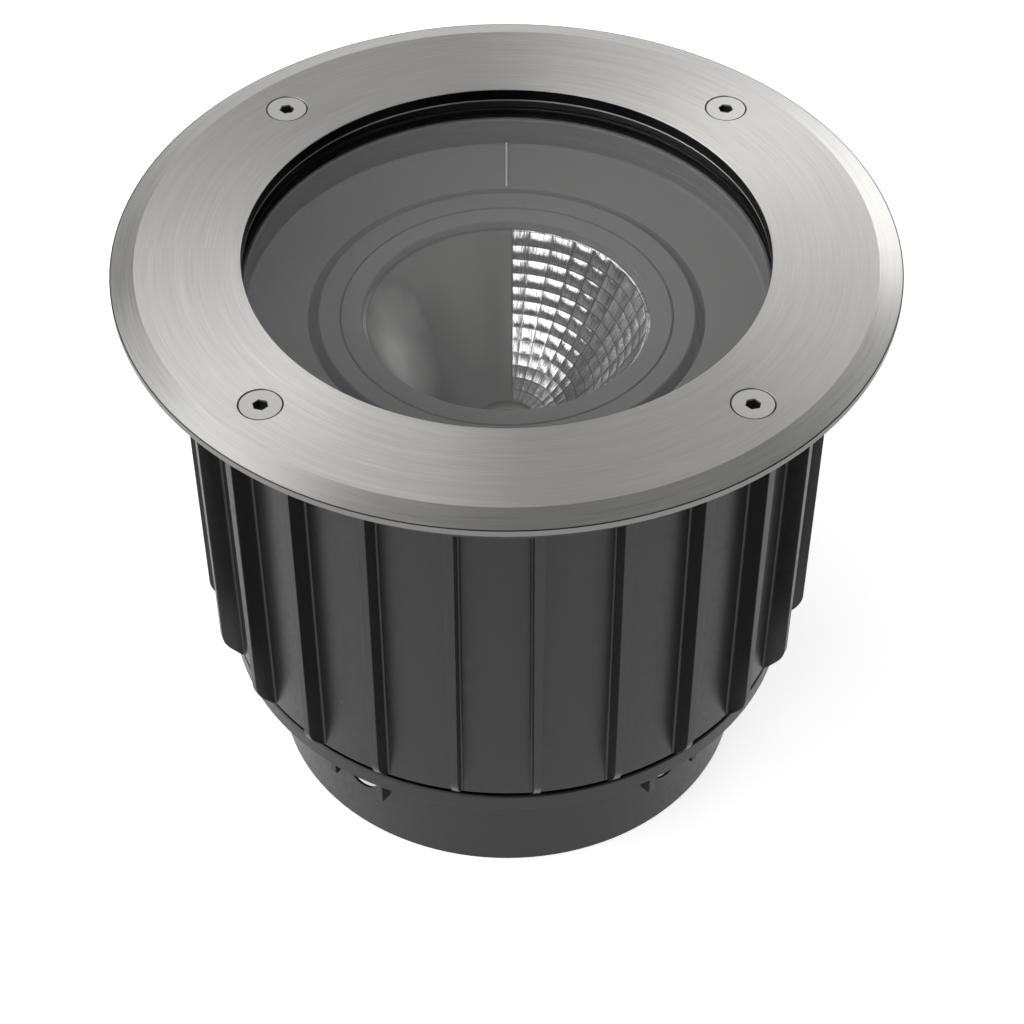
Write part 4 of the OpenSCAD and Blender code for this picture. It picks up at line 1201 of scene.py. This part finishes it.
@dataclass
class Studio:
    """A white ground and a pale surround with soft panels of light.

    The camera's side of the surround gives a smaller share of its light. The two
    numbers of its fade are where that share begins and ends along Y.
    """

    ground_size: float = 6000.0
    surround: float = 0.165
    front_share: float = 0.45
    fade: Pair = (-0.6, 0.5)
    paper: float = 0.5
    seen_paper: float = 1.0
    glow: float = 0.66
    panels: tuple[SoftPanel, ...] = (
        # behind on the right, and its answer high on the left: the brushed ring's bright pair
        SoftPanel((0.3, 0.81, 0.5), 2.2, 4.0, 13.0),
        SoftPanel((-0.36, 0.42, 0.83), 1.1, 4.0, 13.0),
        # behind, in the middle
        SoftPanel((0.0, 0.9, 0.43), 0.75, 3.0, 25.0),
        # on the right, weak
        SoftPanel((0.9, 0.3, 0.4), 0.5, 3.0, 28.0),
        # a row of three on the left, from back to front, which lights the sleeve and the facets
        SoftPanel((-0.9, 0.3, 0.4), 2.0, 3.0, 28.0),
        SoftPanel((-0.9, -0.25, 0.35), 3.6, 4.0, 28.0),
        SoftPanel((-0.45, -0.75, 0.46), 2.7, 5.0, 27.0),
        # low in front on the right, weak, for the ring as it is seen from behind
        SoftPanel((0.68, -0.72, 0.25), 0.9, 5.0, 32.0),
    )

    def ground(self) -> None:
        """Lay the ground, which shows white to the camera and keeps the shadow."""
        half = self.ground_size * MM / 2
        mesh = bpy.data.meshes.new("ground")
        square = [(-half, -half, 0), (half, -half, 0), (half, half, 0), (-half, half, 0)]
        mesh.from_pydata(square, [], [(0, 1, 2, 3)])
        ground = bpy.data.objects.new("ground", mesh)
        bpy.context.scene.collection.objects.link(ground)
        material = bpy.data.materials.new("studio_ground")
        material.use_nodes = True
        tree = material.node_tree
        tree.nodes.clear()
        paper, white = (
            add(tree, "BsdfDiffuse", [(tone, tone, tone, 1)])
            for tone in (self.paper, self.seen_paper)
        )
        glow = add(tree, "Emission", [WHITE, self.glow])
        both = add(tree, "AddShader", [white, glow])
        mix = add(tree, "MixShader", [self.seen(tree), paper, both])
        add(tree, "OutputMaterial", {"Surface": mix})
        mesh.materials.append(material)

    def seen(self, tree: Tree) -> Node:
        """Give 1 for what the eye sees, also in metal and through glass.

        Args:
            tree: the ground's tree.

        Returns:
            The mask.
        """
        path = add(tree, "LightPath").outputs
        mirrored = maths("MAXIMUM", path["Is Glossy Ray"], path["Is Transmission Ray"])
        return maths("MAXIMUM", path["Is Camera Ray"], mirrored)

    def world(self) -> None:
        """Make the surround: white to the camera, soft panels for what it lights."""
        world = bpy.data.worlds.new("studio")
        bpy.context.scene.world = world
        world.use_nodes = True
        tree = world.node_tree
        tree.nodes.clear()
        direction = add(tree, "TexCoord").outputs["Generated"]
        _, y, _ = add(tree, "SeparateXYZ", [direction]).outputs
        front = self.surround * self.front_share
        level = ramp(y, *self.fade, front, self.surround)
        for panel in self.panels:
            level = maths("ADD", level, panel.glow(tree, direction))
        soft = add(tree, "Background", [WHITE, level])
        white = add(tree, "Background", [WHITE, 1.0])
        camera = add(tree, "LightPath").outputs["Is Camera Ray"]
        mix = add(tree, "MixShader", [camera, soft, white])
        add(tree, "OutputWorld", {"Surface": mix})

    def build(self) -> None:
        """Make the ground and the surround."""
        self.ground()
        self.world()
        bpy.context.scene.view_settings.view_transform = "Standard"


@dataclass
class Viewpoint:
    """The photograph's camera, found from circles fitted to it."""

    place: Triple = (0.0, -629.6, 697.3)
    pitch: float = 44.47
    turn: float = 0.14
    lens: float = 100.09
    sensor: float = 36.0
    nearest: float = 10.0

    def build(self) -> None:
        """Make the camera."""
        data = bpy.data.cameras.new("camera")
        data.lens = self.lens
        data.sensor_width = self.sensor
        data.sensor_fit = "HORIZONTAL"
        data.clip_start = self.nearest * MM
        camera = bpy.data.objects.new("camera", data)
        camera.location = Vector(self.place) * MM
        camera.rotation_euler = (math.radians(90 - self.pitch), 0.0, math.radians(-self.turn))
        bpy.context.scene.collection.objects.link(camera)
        bpy.context.scene.camera = camera


def assemblies(frame: dict[str, Any]) -> list[SubAssembly]:
    """List the light's sub-assemblies with their finishes.


    Returns:
        The sub-assemblies in the order in which they are built.
    """
    sleeve = Sleeve(
        frame,
        Body.SLEEVE,
        {SLEEVE_PLASTIC: ["sleeve_body", "base_ring"], BRASS: ["sleeve_inserts"]},
    )
    castings = ["housing_rim", "housing_wall", "housing_floor", "optic_carrier", "retaining_ring"]
    fasteners = ["trim_inserts", "housing_screws", "carrier_screws", "heat_sink_screws"]
    pot = Luminaire(
        frame,
        Body.LUMINAIRE,
        {
            HOUSING_COAT: castings,
            SMALL_STEEL: fasteners + ["led_holder_screws", "control_gear_screws"],
            BAFFLE_GREY: ["baffle"],
            HEAT_SINK_METAL: ["heat_sink"],
            BOARD_WHITE: ["led_board"],
            PHOSPHOR: ["led_chip"],
            HOLDER_WHITE: ["led_holder"],
            LEAD_RED: ["led_leads"],
            LEAD_BLUE: ["mains_leads"],
            GEAR_WHITE: ["control_gear", "terminal_block"],
            BRASS: ["earth_screw"],
            GLAND_BLACK: ["gland_body", "gland_nut", "blanking_plug", "vent_plug"],
            SEAL_RUBBER: ["gland_seal", "sealing_washers"],
        },
    )
    cover = Cover(
        frame,
        Body.COVER,
        {SEAL_RUBBER: ["top_gasket", "glass_seal"], COVER_GLASS: ["glass"]},
    )
    optic = Optic(
        frame,
        Body.OPTIC,
        {
            BAFFLE_GREY: ["turntable", "bezel"],
            FACET_MIRROR: ["faceted_reflector"],
            SATIN_MIRROR: ["smooth_reflector"],
        },
    )
    return [sleeve, pot, cover, optic]


def main() -> None:
    """Build the whole picture."""
    logging.basicConfig(level=logging.INFO, format="%(message)s")
    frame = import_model()
    for assembly in assemblies(frame):
        assembly.build()
    Studio().build()
    Viewpoint().build()


if __name__ == "__main__":
    main()
